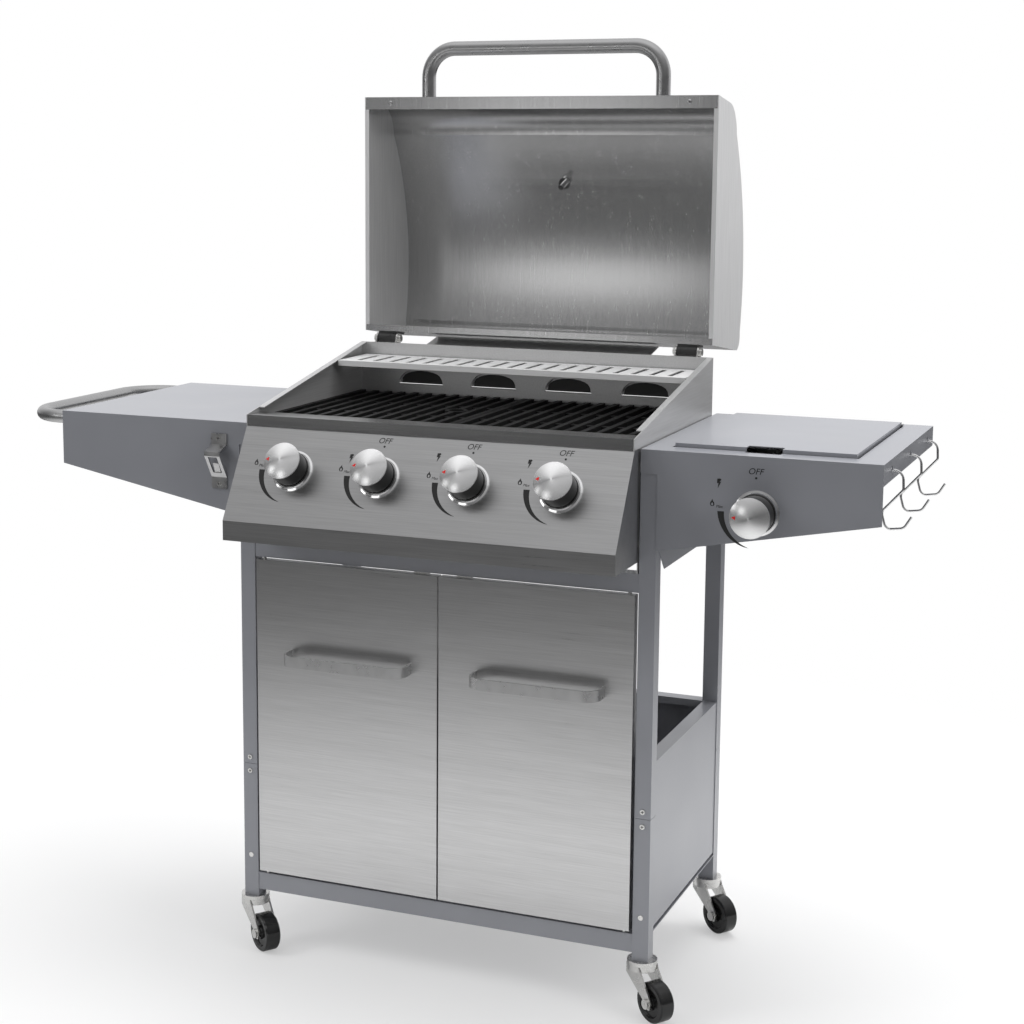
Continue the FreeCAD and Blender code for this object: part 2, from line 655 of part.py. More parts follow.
def make_firebox_rear():
    wall = block("-" + BOX_INNER, BOX_INNER, BOX_BACK_IN, BOX_BACK, WALL_FOOT, RIM_BACK)
    low = "%s + louvre_over_leg" % LEG_TOP
    hoods, holes = [], []
    for step in (-1.5, -0.5, 0.5, 1.5):
        middle = "(%g * 2 * %s * louvre_share)" % (step, BOX_HALF)
        hoods.append(padded("XZ", louvre_outline(middle, "sheet_steel"), BOX_BACK_IN, "louvre_out"))
        holes.append(padded("XZ", louvre_outline(middle, "0"), BOX_BACK_IN + " - 1",
                            "louvre_out + 1 - sheet_steel"))
        holes.append(block(*about(middle, "louvre_width / 2 - 2"), BOX_BACK,
                           BOX_BACK_IN + " + louvre_out - sheet_steel", low + " - 2", low + " + 3"))
    half = "(stop_share * %s)" % BOX_HALF
    stop = padded("YZ", [
        (BOX_BACK, RIM_BACK + " - 8"), (BOX_BACK + " + stop_reach", RIM_BACK + " + 5.5"),
        (BOX_BACK + " + stop_reach", RIM_BACK + " + 6.7"), (BOX_BACK, RIM_BACK + " - 6.8")],
        "-" + half, "2 * " + half)
    foot = block("-" + half, half, BOX_BACK, BOX_BACK + " + sheet_steel", RIM_BACK + " - 26",
                 RIM_BACK + " - 6.8")
    rest = ledge("-%s + tray_ledge" % BOX_INNER, BOX_INNER + " - tray_ledge",
                 BOX_BACK_IN + " - tray_ledge", BOX_BACK_IN, GRATE_REST)
    sub_part("firebox_rear", joined(cut(joined(wall, *hoods), *holes), stop, foot, rest))


def make_firebox_front():
    face, back, t = "firebox_front", "ledge_back", "sheet_steel"
    folded = padded("YZ", [
        (face, LEDGE_LOW), ("%s + %s" % (face, t), LEDGE_LOW),
        ("%s + %s" % (face, t), "%s - %s" % (RIM_FRONT, t)),
        ("%s - %s" % (back, t), "%s - %s" % (RIM_FRONT, t)), ("%s - %s" % (back, t), WALL_FOOT),
        (back, WALL_FOOT), (back, RIM_FRONT), (face, RIM_FRONT)], "-" + BOX_INNER, "2 * " + BOX_INNER)
    bores = [rod(x, "0", BURNER, "burner_radius + 1", "20", "Y") for x in KNOB_XS]
    rest = ledge("-%s + tray_ledge" % BOX_INNER, BOX_INNER + " - tray_ledge", back,
                 back + " + tray_ledge", GRATE_REST)
    sub_part("firebox_front", joined(cut(folded, *bores), rest))


def make_control_panel():
    wedge = padded("YZ", [
        (PANEL_TOP_Y, LEDGE_LOW), ("0", LEDGE_LOW), ("0", PANEL_LOW), (PANEL_FOOT_Y, PANEL_LOW),
        (PANEL_FOOT_Y, PANEL_FOOT)], "-" + BOX_HALF, "2 * " + BOX_HALF)
    skin = hollowed(wedge, "sheet_steel", [(0, 0, -1), (0, 1, 0), (0, 0, 1)])
    bores = [on_panel(rod("0", "0", "0", "stem_radius + 1", "20"), x, "-10") for x in KNOB_XS]
    sub_part("control_panel", cut(skin, *bores))


# ---------------------------------------------------------------- knobs, stems and gas line

STEM_DEPTH = "(valve_depth - 4 - knob_push - 1)"


def on_panel(item, x, out):
    """Stand a piece on the slanted panel, its own Z along the panel's outward normal."""
    place(item, x, "%s - (%s) * cos(panel_tilt)" % (KNOB_Y, out),
          "%s + (%s) * sin(panel_tilt)" % (KNOB_Z, out), (X_AXIS, "90 - panel_tilt"))
    tie(item, Placement__Rotation__Angle="90 - panel_tilt")
    return item


SIDE_KNOB_X = "(%s + side_knob_from_leg)" % HALF
SIDE_KNOB_Z = "(%s - side_knob_drop)" % SHELF


def on_shelf(item, out):
    """Stand a piece on the right shelf's front panel, its own Z towards the front."""
    return place(item, SIDE_KNOB_X, "%s - (%s)" % (SHELF_FRONT, out), SIDE_KNOB_Z, (X_AXIS, 90))


def knob_body():
    top, bore = "(knob_skirt + knob_cap)", "(stem_radius + pin_clearance)"
    dome = "(knob_cap_radius ^ 2 + knob_dome ^ 2) / (2 * knob_dome)"
    return revolved([
        (bore, "0"), ("knob_radius", "0"), ("knob_cap_radius - 1.5", "knob_skirt"),
        ("knob_cap_radius", "knob_skirt"), ("knob_cap_radius", top + " - knob_dome", dome),
        ("0", top), ("0", "knob_skirt / 2"), (bore, "knob_skirt / 2")])


def bezel_body():
    bore = "stem_radius + 1.5"
    return revolved([
        (bore, "0"), ("bezel_radius", "0"), ("bezel_radius", "1.5"), ("bezel_radius - 2.5", "2.5"),
        ("bezel_radius - 3.5", "bezel_height"), (bore, "bezel_height")])


def stem_body():
    reach = "%s + knob_stand + knob_skirt / 2 - fit_gap" % STEM_DEPTH
    return revolved([("0", "0"), ("stem_radius", "0"), ("stem_radius", reach), ("0", reach)])


def valve_body():
    """A valve with a blind bore for its stem; its rear face is at z = 0."""
    bore, front = "(stem_radius + pin_clearance)", "valve_depth - sheet_steel"
    return revolved([
        ("0", "0"), ("valve_radius", "0"), ("valve_radius", "valve_depth * 0.6"),
        ("valve_radius * 0.7", front), (bore, front), (bore, "4"), ("0", "4")])


def make_knobs():
    for number, x in enumerate(KNOB_XS, start=1):
        sub_part("knob_%d" % number, on_panel(knob_body(), x, "knob_stand"))
        sub_part("valve_stem_%d" % number, on_panel(stem_body(), x, "-" + STEM_DEPTH))
    sub_part("knob_side", on_shelf(knob_body(), "knob_stand"))
    sub_part("valve_stem_side", on_shelf(stem_body(), "-" + STEM_DEPTH))
    sub_part("knob_bezels", *[on_panel(bezel_body(), x, "0") for x in KNOB_XS], on_shelf(bezel_body(), "0"))


def make_gas_line():
    valves = [on_panel(valve_body(), x, "-valve_depth") for x in KNOB_XS]
    rear_y = "(%s + valve_depth * cos(panel_tilt))" % KNOB_Y
    rear_z = "(%s - valve_depth * sin(panel_tilt))" % KNOB_Z
    pipe_y, pipe_z = rear_y + " + manifold_radius * 0.4", rear_z + " - manifold_radius * 0.95"
    pipe = rod("-%s + manifold_inset" % BOX_HALF, pipe_y, pipe_z, "manifold_radius",
               "2 * (%s - manifold_inset)" % BOX_HALF, "X")
    collar_z = pipe_z + " - manifold_radius - inlet_collar"
    inlet = joined(
        rod("0", pipe_y, collar_z + " - inlet_reach", "inlet_radius", "inlet_reach + inlet_collar"),
        rod("0", pipe_y, collar_z, "inlet_radius + 2", "manifold_radius + inlet_collar"))
    nozzles = [rod(x, rear_y, BURNER, "4", "%s + 8 - %s" % (BURNER_MOUTH, rear_y), "Y") for x in KNOB_XS]
    side_valve = on_shelf(valve_body(), "-valve_depth")
    feed_y = "%s + valve_depth - 1" % SHELF_FRONT
    feed = rod(SIDE_KNOB_X, feed_y, SIDE_KNOB_Z, "4", "27", "Y")
    riser_y = "%s + valve_depth + 26" % SHELF_FRONT
    riser = rod(SIDE_KNOB_X, riser_y, SIDE_KNOB_Z + " - 6", "5.5",
                "%s - bowl_depth - (%s - 6)" % (SHELF, SIDE_KNOB_Z))
    sub_part("gas_manifold", joined(pipe, inlet, *valves, *nozzles), joined(side_valve, feed, riser))


# ---------------------------------------------------------------- burners and cooking surfaces


def make_burners():
    tubes = []
    end = "(%s - 14)" % BOX_BACK_IN
    for x in KNOB_XS:
        tube = cut(rod(x, BURNER_MOUTH, BURNER, "burner_radius", "%s - %s" % (end, BURNER_MOUTH), "Y"),
                   rod(x, BURNER_MOUTH + " - 1", BURNER, "burner_radius - 1",
                       "%s - %s - 2" % (end, BURNER_MOUTH), "Y"))
        tail = block(*about(x, "8"), end + " - 1", BOX_BACK_IN, BURNER + " - 3", BURNER + " + 3")
        foot = block(*about(x, "9"), "ledge_back", "ledge_back + 8", BURNER + " - burner_radius - 5",
                     BURNER + " - burner_radius + 1")
        electrode = rod(x + " + burner_radius + 5", "ledge_back + 40", BURNER + " - 6", "1.6", "20")
        clip = block(x + " + burner_radius - 1.5", x + " + burner_radius + 7", "ledge_back + 37",
                     "ledge_back + 43", BURNER + " - 3", BURNER + " + 3")
        tubes.append(joined(tube, tail, foot, electrode, clip))
    sub_part("burners", *tubes)


def make_flame_tamers():
    y0, depth, half, t = "(ledge_back + 14)", "%s - ledge_back - 30" % BOX_BACK, "tamer_width / 2", "sheet_steel"
    roofs = []
    for x in KNOB_XS:
        roofs.append(padded("XZ", [
            ("%s - %s" % (x, half), TAMER), ("%s - %s + 3" % (x, half), TAMER),
            (x, "%s + tamer_height - 1.5 * %s" % (TAMER, t)), ("%s + %s - 3" % (x, half), TAMER),
            ("%s + %s" % (x, half), TAMER), (x, "%s + tamer_height" % TAMER)], y0, depth))
    carriers = [block("-" + BOX_INNER, BOX_INNER, y, y + " + 10", TAMER + " - sheet_steel", TAMER)
                for y in ("ledge_back + 24", BOX_BACK + " - 42")]
    sub_part("flame_tamers", joined(*carriers, *roofs))


def make_grates():
    inner, outer = "0.75", "(%s - 2)" % BOX_INNER
    y0, y1 = "grate_front", "(%s - 7.6)" % BOX_BACK
    pitch = "((%s - %s - grate_bar) / (grate_bars - 1))" % (outer, inner)
    ring_y = "(%s + %s) / 2" % (y0, y1)
    for name, side in SIDES.items():
        pieces = []
        for index in range(int(value("grate_bars"))):
            start = "%s + %d * %s" % (inner, index, pitch)
            x0, x1 = (start, start + " + grate_bar")
            if side < 0:
                x0, x1 = "-(%s)" % x1, "-(%s)" % x0
            pieces.append(block(x0, x1, y0, y1, GRATE_REST, GRATE))
        x0, x1 = (inner, outer) if side > 0 else ("-" + outer, "-" + inner)
        for step in range(4):
            y = "%s + %d * (%s - %s - grate_bar) / 3" % (y0, step, y1, y0)
            pieces.append(block(x0, x1, y, y + " + grate_bar", GRATE_REST, GRATE + " - 2.5"))
        grate = joined(*pieces)
        if side < 0:
            x = "-(%s + 2 * %s + grate_bar / 2)" % (inner, pitch)
            boss = rod(x, ring_y, GRATE_REST, "ring_radius", "grate_thick")
            hole = rod(x, ring_y, GRATE_REST + " - 1", "ring_radius - 5.5", "grate_thick + 2")
            grate = cut(joined(grate, boss), hole)
        sub_part("grate_" + name, grate)


def make_warming_rack():
    half = "(%s - rim_flange - 2)" % BOX_HALF
    y0, y1 = RACK_FRONT, "(%s + rack_depth)" % RACK_FRONT
    pitch = "(2 * %s / (rack_slots + 1))" % half
    slots = []
    for index in range(int(value("rack_slots"))):
        x = "-%s + %d * %s" % (half, index + 1, pitch)
        slots.append([(x + " - 4", y0 + " + 14"), (x + " + 4", y0 + " + 14"),
                      (x + " + 4", y1 + " - 14"), (x + " - 4", y1 + " - 14")])
    deck = padded("XY", [("-" + half, y0), (half, y0), (half, y1), ("-" + half, y1)],
                  RACK + " - sheet_steel", "sheet_steel", loops=slots)
    lips = [block("-" + half, half, y, y + " + sheet_steel", RACK + " - rack_lip", RACK)
            for y in (y0, y1 + " - sheet_steel")]
    sub_part("warming_rack", joined(deck, *lips))


def make_grease_tray():
    half, y0, y1 = "(%s - 3)" % BOX_INNER, "24", "(%s + 14)" % BOX_BACK
    middle = "cart_depth / 2"
    pan = hollowed(padded("XY", [("-" + half, y0), (half, y0), (half, y1), ("-" + half, y1)],
                          TRAY, "tray_depth"), "sheet_steel", [(0, 0, 1)])
    grip = block("-60", "60", y1 + " - 1", y1 + " + 14", TRAY + " + tray_depth - sheet_steel",
                 TRAY + " + tray_depth")
    drain = rod("0", middle, TRAY + " - 1", "6", "4")
    cup = cut(rod("0", middle, TRAY + " - cup_height", "cup_radius", "cup_height"),
              rod("0", middle, TRAY + " - cup_height + 1", "cup_radius - 1", "cup_height"))
    sub_part("grease_tray", cut(joined(pan, grip), drain), cup)


# ---------------------------------------------------------------- lid


def lid_y(behind):
    """Y of a place that far behind the open lid's rim plane."""
    return "(%s - lid_rim_offset + %s)" % (HINGE_Y, behind)


def lid_z(above):
    return "(%s + %s)" % (HINGE_Z, above)


LID_OUTLINE = [
    (lid_y("0"), lid_z("lid_rim_low")),
    (lid_y("lid_back_depth"), lid_z("lid_rim_low - lid_back_drop"), "lid_back_radius"),
    (lid_y("lid_crown_depth"), lid_z("lid_crown_low"), "lid_crown_radius"),
    (lid_y("lid_brow_depth"), lid_z(LID_HIGH + " - lid_brow_drop"), "lid_brow_radius"),
    (lid_y("lid_face_depth"), lid_z(LID_HIGH + " - lid_face_drop")),
    (lid_y("0"), lid_z(LID_HIGH))]


def lid_block():
    half = "(%s - sheet_steel)" % LID_HALF
    return padded("YZ", LID_OUTLINE, "-" + half, "2 * " + half)


def crown_point():
    """Where the thermometer sits on the top curve: y, z and the outward tilt below level."""
    start = (value(LID_OUTLINE[2][0]), value(LID_OUTLINE[2][1]))
    end = (value(LID_OUTLINE[3][0]), value(LID_OUTLINE[3][1]))
    radius = value("lid_crown_radius")
    middle = arc_middle(start, end, radius)
    chord = math.hypot(end[0] - start[0], end[1] - start[1])
    outward = ((end[1] - start[1]) / chord, (start[0] - end[0]) / chord)
    centre = (middle[0] - radius * outward[0], middle[1] - radius * outward[1])
    level = value(lid_z(LID_HIGH + " - gauge_from_rim"))
    rise = level - centre[1]
    tilt = math.degrees(math.asin(rise / radius))
    return centre[0] + radius * math.cos(math.radians(tilt)), level, tilt


def along_crown(item, point, out):
    """Place a piece with its own Z along the outward normal at a point of the top curve."""
    y, z, tilt = point
    turn = FreeCAD.Rotation(X_AXIS, tilt - 90)
    spot = Vector(0, y, z) + turn.multVec(Vector(0, 0, out))
    item.Placement = FreeCAD.Placement(spot, turn)
    return item


def plain_rod(radius, length):
    item = doc.addObject("Part::Cylinder", "Rod")
    tie(item, Radius=radius, Height=length)
    return item


def make_lid():
    point = crown_point()
    low, high = lid_z("lid_rim_low"), lid_z(LID_HIGH)
    half = "(%s - sheet_steel)" % LID_HALF
    curved = hollowed(lid_block(), "sheet_steel", [(0, -1, 0), (1, 0, 0), (-1, 0, 0)])
    front = block("-" + half, half, lid_y("0"), lid_y("sheet_steel"), high + " - lid_front_flange",
                  high + " - 0.15")
    rear = block("-" + half, half, lid_y("0"), lid_y("sheet_steel"), low, low + " + lid_back_flange")
    hole = along_crown(plain_rod("stem_radius + 0.5", "20"), point, -10)
    sub_part("lid_shell", cut(joined(curved, front, rear), hole))

    plate = padded("YZ", LID_OUTLINE, half, "sheet_steel")
    flange = block(LID_HALF + " - lid_end_flange", LID_HALF, lid_y("0"), lid_y("sheet_steel"),
                   low + " + lid_back_flange + 0.3", high + " - lid_front_flange - 0.3")
    end = joined(plate, flange)
    sub_part("lid_end_right", end)
    sub_part("lid_end_left", mirrored(end))

    dial = along_crown(plain_rod("gauge_radius", "gauge_depth"), point, 0)
    nut = along_crown(plain_rod("9", "6"), point, -7.35)
    stem = along_crown(plain_rod("stem_radius", "30"), point, -25)
    sub_part("thermometer", joined(dial, nut, stem))

    radius = value("lid_handle_tube") / 2
    x, y = value("lid_handle_share * " + BOX_HALF), value(lid_y("lid_handle_depth"))
    top = value(lid_z(LID_HIGH + " + lid_handle_stand"))
    foot = value(lid_z(LID_HIGH + " - lid_face_drop")) - 4
    tube = bent_bar([(-x, y, foot), (-x, y, top), (x, y, top), (x, y, foot)],
                    value("lid_handle_bend"), radius, radius - 1.5)
    sub_part("lid_handle", cut(tube, lid_block()))


def make_hinges():
    leaves, brackets = [], []
    t, reach = "3", "28"
    slope = "(lid_back_drop / lid_back_depth)"
    gap = "0.4"
    for side in SIDES.values():
        x = "(%d * %s)" % (side, HINGE_X)
        half = "knuckle_length / 2"
        leaf = padded("YZ", [
            (lid_y("0.5"), lid_z("lid_rim_low - 0.5 * " + slope)),
            (lid_y("0.5"), lid_z("2")), (lid_y("lid_rim_offset + 3"), lid_z("2")),
            (lid_y("lid_rim_offset + 6"), lid_z("lid_rim_low - %s - 8.5 * %s" % (t, slope))),
            (lid_y(reach), lid_z("lid_rim_low - %s - %s * %s" % (t, reach, slope))),
            (lid_y(reach), lid_z("lid_rim_low - %s * %s" % (reach, slope)))],
            "%s - %s" % (x, half), "knuckle_length")
        barrel = rod("%s - %s" % (x, half), HINGE_Y, HINGE_Z, "knuckle_radius", "knuckle_length", "X")
        bore = rod("%s - %s - 1" % (x, half), HINGE_Y, HINGE_Z, "hinge_pin_radius + pin_clearance",
                   "knuckle_length + 2", "X")
        leaves.append(cut(joined(leaf, barrel), bore))

        plate = block(*about(x, half + " + ear_thick + 6"), BOX_BACK, BOX_BACK + " + 2.4",
                      RIM_BACK + " - 38", RIM_BACK)
        pieces = [plate, rod("%s - %s - ear_thick - 4" % (x, half), HINGE_Y, HINGE_Z, "hinge_pin_radius",
                             "knuckle_length + 2 * ear_thick + 8", "X")]
        for way in (-1, 1):
            near = "%s + %d * (%s + %s)" % (x, way, half, gap)
            start = near if way > 0 else near + " - ear_thick"
            pieces.append(rod(start, HINGE_Y, HINGE_Z, "knuckle_radius", "ear_thick", "X"))
            pieces.append(padded("YZ", [
                (BOX_BACK, RIM_BACK + " - 34"), (BOX_BACK + " + 4", RIM_BACK + " - 34"),
                (HINGE_Y + " + knuckle_radius", HINGE_Z), (HINGE_Y + " - knuckle_radius", HINGE_Z),
                (BOX_BACK, RIM_BACK)], start, "ear_thick"))
            cap = "%s + %d * (%s + %s + ear_thick)" % (x, way, half, gap)
            pieces.append(rod(cap if way > 0 else cap + " - 3.5", HINGE_Y, HINGE_Z, "5.2", "3.5", "X"))
        brackets.append(joined(*pieces))
    sub_part("lid_hinges", *leaves)
    sub_part("hinge_brackets", *brackets)


# ---------------------------------------------------------------- side shelves

HOOK_Y = "(cart_depth / 2 + 12)"
HOOK_HOLE_DROP = 12.7
HOOK_STEPS = {"front": -1, "middle": 0, "rear": 1}


def shelf_sheet(length):
    """The folded sheet of a right-hand shelf: top, front panel, end lip, rear lip and bracket."""
    inner, leg, outer = LEG_IN, HALF, "(%s + %s)" % (HALF, length)
    front = padded("XZ", [
        (inner, SHELF + " - shelf_notch"), (leg, SHELF + " - shelf_notch"),
        (leg, SHELF + " - shelf_inner_height"), (outer, SHELF + " - shelf_outer_height"),
        (outer, SHELF), (inner, SHELF)], SHELF_FRONT, "sheet_steel")
    lip = "%s - shelf_lip" % SHELF
    bracket = padded("YZ", [
        ("0", SHELF), ("0", "%s - bracket_height + 40" % SHELF), ("36", "%s - bracket_height" % SHELF),
        ("cart_depth - 2", "%s - bracket_height" % SHELF), ("cart_depth - 2", SHELF)],
        leg, "sheet_steel")
    return [block(inner, outer, SHELF_FRONT, SHELF_BACK, SHELF_UNDER, SHELF), front, bracket,
            block(outer + " - sheet_steel", outer, SHELF_FRONT, SHELF_BACK, lip, SHELF),
            block(leg, outer, SHELF_BACK + " - sheet_steel", SHELF_BACK, lip, SHELF)]


def make_left_shelf():
    sub_part("shelf_left", mirrored(joined(*shelf_sheet("shelf_length_left"))))
    radius = value("bar_tube") / 2
    x0 = -value("%s + shelf_length_left" % HALF)
    x1, z = x0 - value("bar_reach"), value(SHELF + " - bar_drop")
    y0, y1 = value(SHELF_FRONT + " + bar_inset + 1.2"), value(SHELF_BACK + " - bar_inset")
    sub_part("shelf_bar_handle", bent_bar([(x0, y0, z), (x1, y0, z), (x1, y1, z), (x0, y1, z)],
                                          value("bar_bend"), radius, radius - 1.4))


def make_opener():
    x = "-(%s + opener_from_leg)" % HALF
    z = "(%s - opener_drop)" % SHELF
    face, t = SHELF_FRONT, "2"
    out = "(%s - opener_stand)" % face
    edge = "opener_height / 2"
    strap = padded("YZ", [
        (face, "%s + %s" % (z, edge)), ("%s - %s" % (face, t), "%s + %s" % (z, edge)),
        ("%s - %s" % (face, t), z + " + 23.5"), (out, z + " + 15.5"), (out, z + " + 9.5"),
        ("%s - %s" % (face, t), z + " - 22.5"), ("%s - %s" % (face, t), "%s - %s" % (z, edge)),
        (face, "%s - %s" % (z, edge)), (face, z + " - 21.9"), (out + " + " + t, z + " + 10.1"),
        (out + " + " + t, z + " + 14.1"), (face, z + " + 22.1")],
        x + " - opener_width / 2", "opener_width")
    mouth = block(*about(x, "7"), out + " - 1", "%s - 4.5" % face, z + " - 16", z + " + 8")
    tongue = padded("YZ", [
        (face + " - 3", z + " - 20"), (face + " - 11.5", z + " - 2"), (face + " - 10", z + " - 1.2"),
        (face + " - 1.6", z + " - 18.6")], x + " - 4.5", "9")
    sub_part("bottle_opener", joined(cut(strap, mouth), tongue))


COVER_X0 = "(%s + cover_from_leg)" % HALF
COVER_X1 = "(%s + shelf_length_right - cover_from_end)" % HALF
COVER_Y0, COVER_Y1 = "cover_front", "(%s - cover_from_back)" % SHELF_BACK
COVER_TOP = "(%s + cover_rise)" % SHELF
COVER_HINGE_Y, COVER_HINGE_Z = "(%s - 4)" % COVER_Y1, "(%s + 0.5)" % SHELF
COVER_PIN = "1.5"
FINGER_X = "(%s + %s) / 2" % (COVER_X0, COVER_X1)
WELL = [COVER_X0 + " - cover_gap", COVER_X1 + " + cover_gap", COVER_Y0 + " - cover_gap",
        COVER_Y1 + " + cover_gap"]


def make_right_shelf():
    outer = "(%s + shelf_length_right)" % HALF
    well = block(*WELL, SHELF_UNDER + " - 1", SHELF + " + 1")
    finger = block(*about(FINGER_X, "finger_width / 2"), COVER_Y0 + " - cover_gap - 8",
                   COVER_Y0, SHELF_UNDER + " - 1", SHELF + " + 1")
    holes = [rod(outer + " - 5", "%s + %d * hook_pitch" % (HOOK_Y, step), "%s - %g" % (SHELF, HOOK_HOLE_DROP),
                 "hook_hole", "10", "X") for step in HOOK_STEPS.values()]
    stem = on_shelf(rod("0", "0", "0", "stem_radius + 1", "20"), "-10")
    plain = joined(*shelf_sheet("shelf_length_right"))
    sub_part("shelf_right", cut(plain, well, finger, *holes, stem))


def make_side_burner():
    t = "sheet_steel"
    x0, x1, y0, y1 = WELL
    floor, rim = "(%s - bowl_depth)" % SHELF, SHELF_UNDER
    outer = block("%s - %s" % (x0, t), "%s + %s" % (x1, t), "%s - %s" % (y0, t), "%s + %s" % (y1, t),
                  floor, rim)
    reach = "(cover_from_leg - cover_gap - sheet_steel - fit_gap)"
    flange = block("%s - %s" % (x0, reach), "%s + %s" % (x1, reach), "%s - %s" % (y0, reach),
                   "%s + %s" % (y1, reach), "%s - %s" % (rim, t), rim)
    hollow = block(x0, x1, y0, y1, "%s + %s" % (floor, t), rim + " + 1")
    bowl = cut(joined(outer, flange), hollow)
    middle_x, middle_y = "(%s + %s) / 2" % (COVER_X0, COVER_X1), "(%s + %s) / 2" % (COVER_Y0, COVER_Y1)
    head = joined(rod(middle_x, middle_y, floor, "22", "10"), rod(middle_x, middle_y, floor + " + 10", "30", "6"),
                  rod(middle_x, middle_y, floor + " + 16", "24", "3"))
    trivet = [block(x0, x1, *about(middle_y, "3"), floor + " + 20", floor + " + 25"),
              block(*about(middle_x, "3"), y0, y1, floor + " + 20", floor + " + 25"),
              block(x0, x1, *about(middle_y + " + 70", "3"), floor + " + 20", floor + " + 25"),
              block(x0, x1, *about(middle_y + " - 70", "3"), floor + " + 20", floor + " + 25")]
    ears = []
    for ear, pin in (((x0, x0 + " + 1.8"), x0 + " + 1"), ((x1 + " - 1.8", x1), x1 + " - 7")):
        ears.append(block(*ear, *about(COVER_HINGE_Y, "4"), rim + " - 12", COVER_HINGE_Z + " + 2.5"))
        ears.append(rod(pin, COVER_HINGE_Y, COVER_HINGE_Z, COVER_PIN, "6", "X"))
    sub_part("side_burner", joined(bowl, head, *trivet, *ears))

    shape = padded("XY", [(COVER_X0, COVER_Y0), (COVER_X1, COVER_Y0), (COVER_X1, COVER_Y1),
                          (COVER_X0, COVER_Y1)], COVER_TOP + " - 13", "13")
    skin = hollowed(shape, t, [(0, 0, -1), (0, 1, 0)])
    finger = block(*about(FINGER_X, "finger_width / 2"), COVER_Y0 + " - 1", COVER_Y0 + " + 15",
                   COVER_TOP + " - 14", COVER_TOP + " + 1")
    bores = rod(COVER_X0 + " - 1", COVER_HINGE_Y, COVER_HINGE_Z, COVER_PIN + " + pin_clearance",
                "%s - %s + 2" % (COVER_X1, COVER_X0), "X")
    sub_part("side_burner_lid", cut(skin, finger, bores))


def make_hooks():
    wire = value("hook_wire") / 2
    x, z = value("%s + shelf_length_right" % HALF), value(SHELF)
    line = [(-10, -31), (-10, -14), (14, -14), (15, -38), (-11, -67), (-5, -89), (17, -86), (26, -71)]
    bends = [12, 12, 5, 8, 9, 9]
    for name, step in HOOK_STEPS.items():
        y = value("%s + %d * hook_pitch" % (HOOK_Y, step))
        path = [(x + dx, y, z + dz) for dx, dz in line]
        sub_part("hook_" + name, bent_bar(path, [bend - 0.01 for bend in bends], wire))


# ---------------------------------------------------------------- casters and fixings


def headed(item, corner):
    """Turn a piece drawn with the caster pointing along +X to the rest heading, at its leg."""
    x, y = CORNERS[corner]
    place(item, x, y, 0, (Z_AXIS, "caster_turn"))
    tie(item, Placement__Rotation__Angle="caster_turn")
    return item


def make_casters():
    housing_low, housing_top = "(caster_height - 5.5 - race_height)", "(caster_height - 5.5 - fit_gap)"
    wheel_z, trail = "wheel_radius", "wheel_trail"
    inner = "(wheel_width / 2 + 2)"
    for corner in CORNERS:
        housing = cut(rod("0", "0", housing_low, "race_radius - 1", "%s - %s" % (housing_top, housing_low)),
                      rod("0", "0", housing_low + " - 1", "swivel_radius + pin_clearance", "race_height + 2"))
        pieces = [housing]
        for start in (inner, "-%s - 2.5" % inner):
            pieces.append(padded("XZ", [
                ("-race_radius + 6", housing_low + " - 6"), (trail + " - 9", wheel_z + " + 4"),
                (trail + " - 6", wheel_z + " - 7"), (trail + " + 6", wheel_z + " - 7"),
                (trail + " + 9", wheel_z + " + 4"), ("race_radius - 5", housing_low + " + 2"),
                ("race_radius - 7", housing_top), ("-race_radius + 6", housing_top)], start, "2.5"))
        pieces.append(rod(trail, "-%s - 5.5" % inner, wheel_z, "axle_radius", "2 * %s + 11" % inner, "Y"))
        for start in (inner + " + 2.5", "-%s - 5.5" % inner):
            pieces.append(rod(trail, start, wheel_z, "6.5", "3", "Y"))
        fork = joined(*pieces)
        sub_part("caster_fork_" + corner, headed(compounded(fork), corner))

        w, r, bore = "wheel_width / 2", "wheel_radius", "(axle_radius + pin_clearance)"
        wheel = revolved([
            (bore, "-" + w), ("9", "-" + w), ("10", "-%s + 3" % w), (r + " - 9", "-%s + 3" % w),
            (r + " - 7", "-" + w), (r + " - 2", "-" + w), (r, "-%s + 2" % w), (r, w + " - 2"),
            (r + " - 2", w), (r + " - 7", w), (r + " - 9", w + " - 3"), ("10", w + " - 3"), ("9", w),
            (bore, w)])
        place(wheel, trail, "0", wheel_z, (X_AXIS, 90))
        sub_part("caster_wheel_" + corner, headed(compounded(wheel), corner))


def compounded(item):
    """Hold one piece so that it can be placed again without moving the piece itself."""
    holder = doc.addObject("Part::Compound", "Holder")
    holder.Links = [item]
    return holder


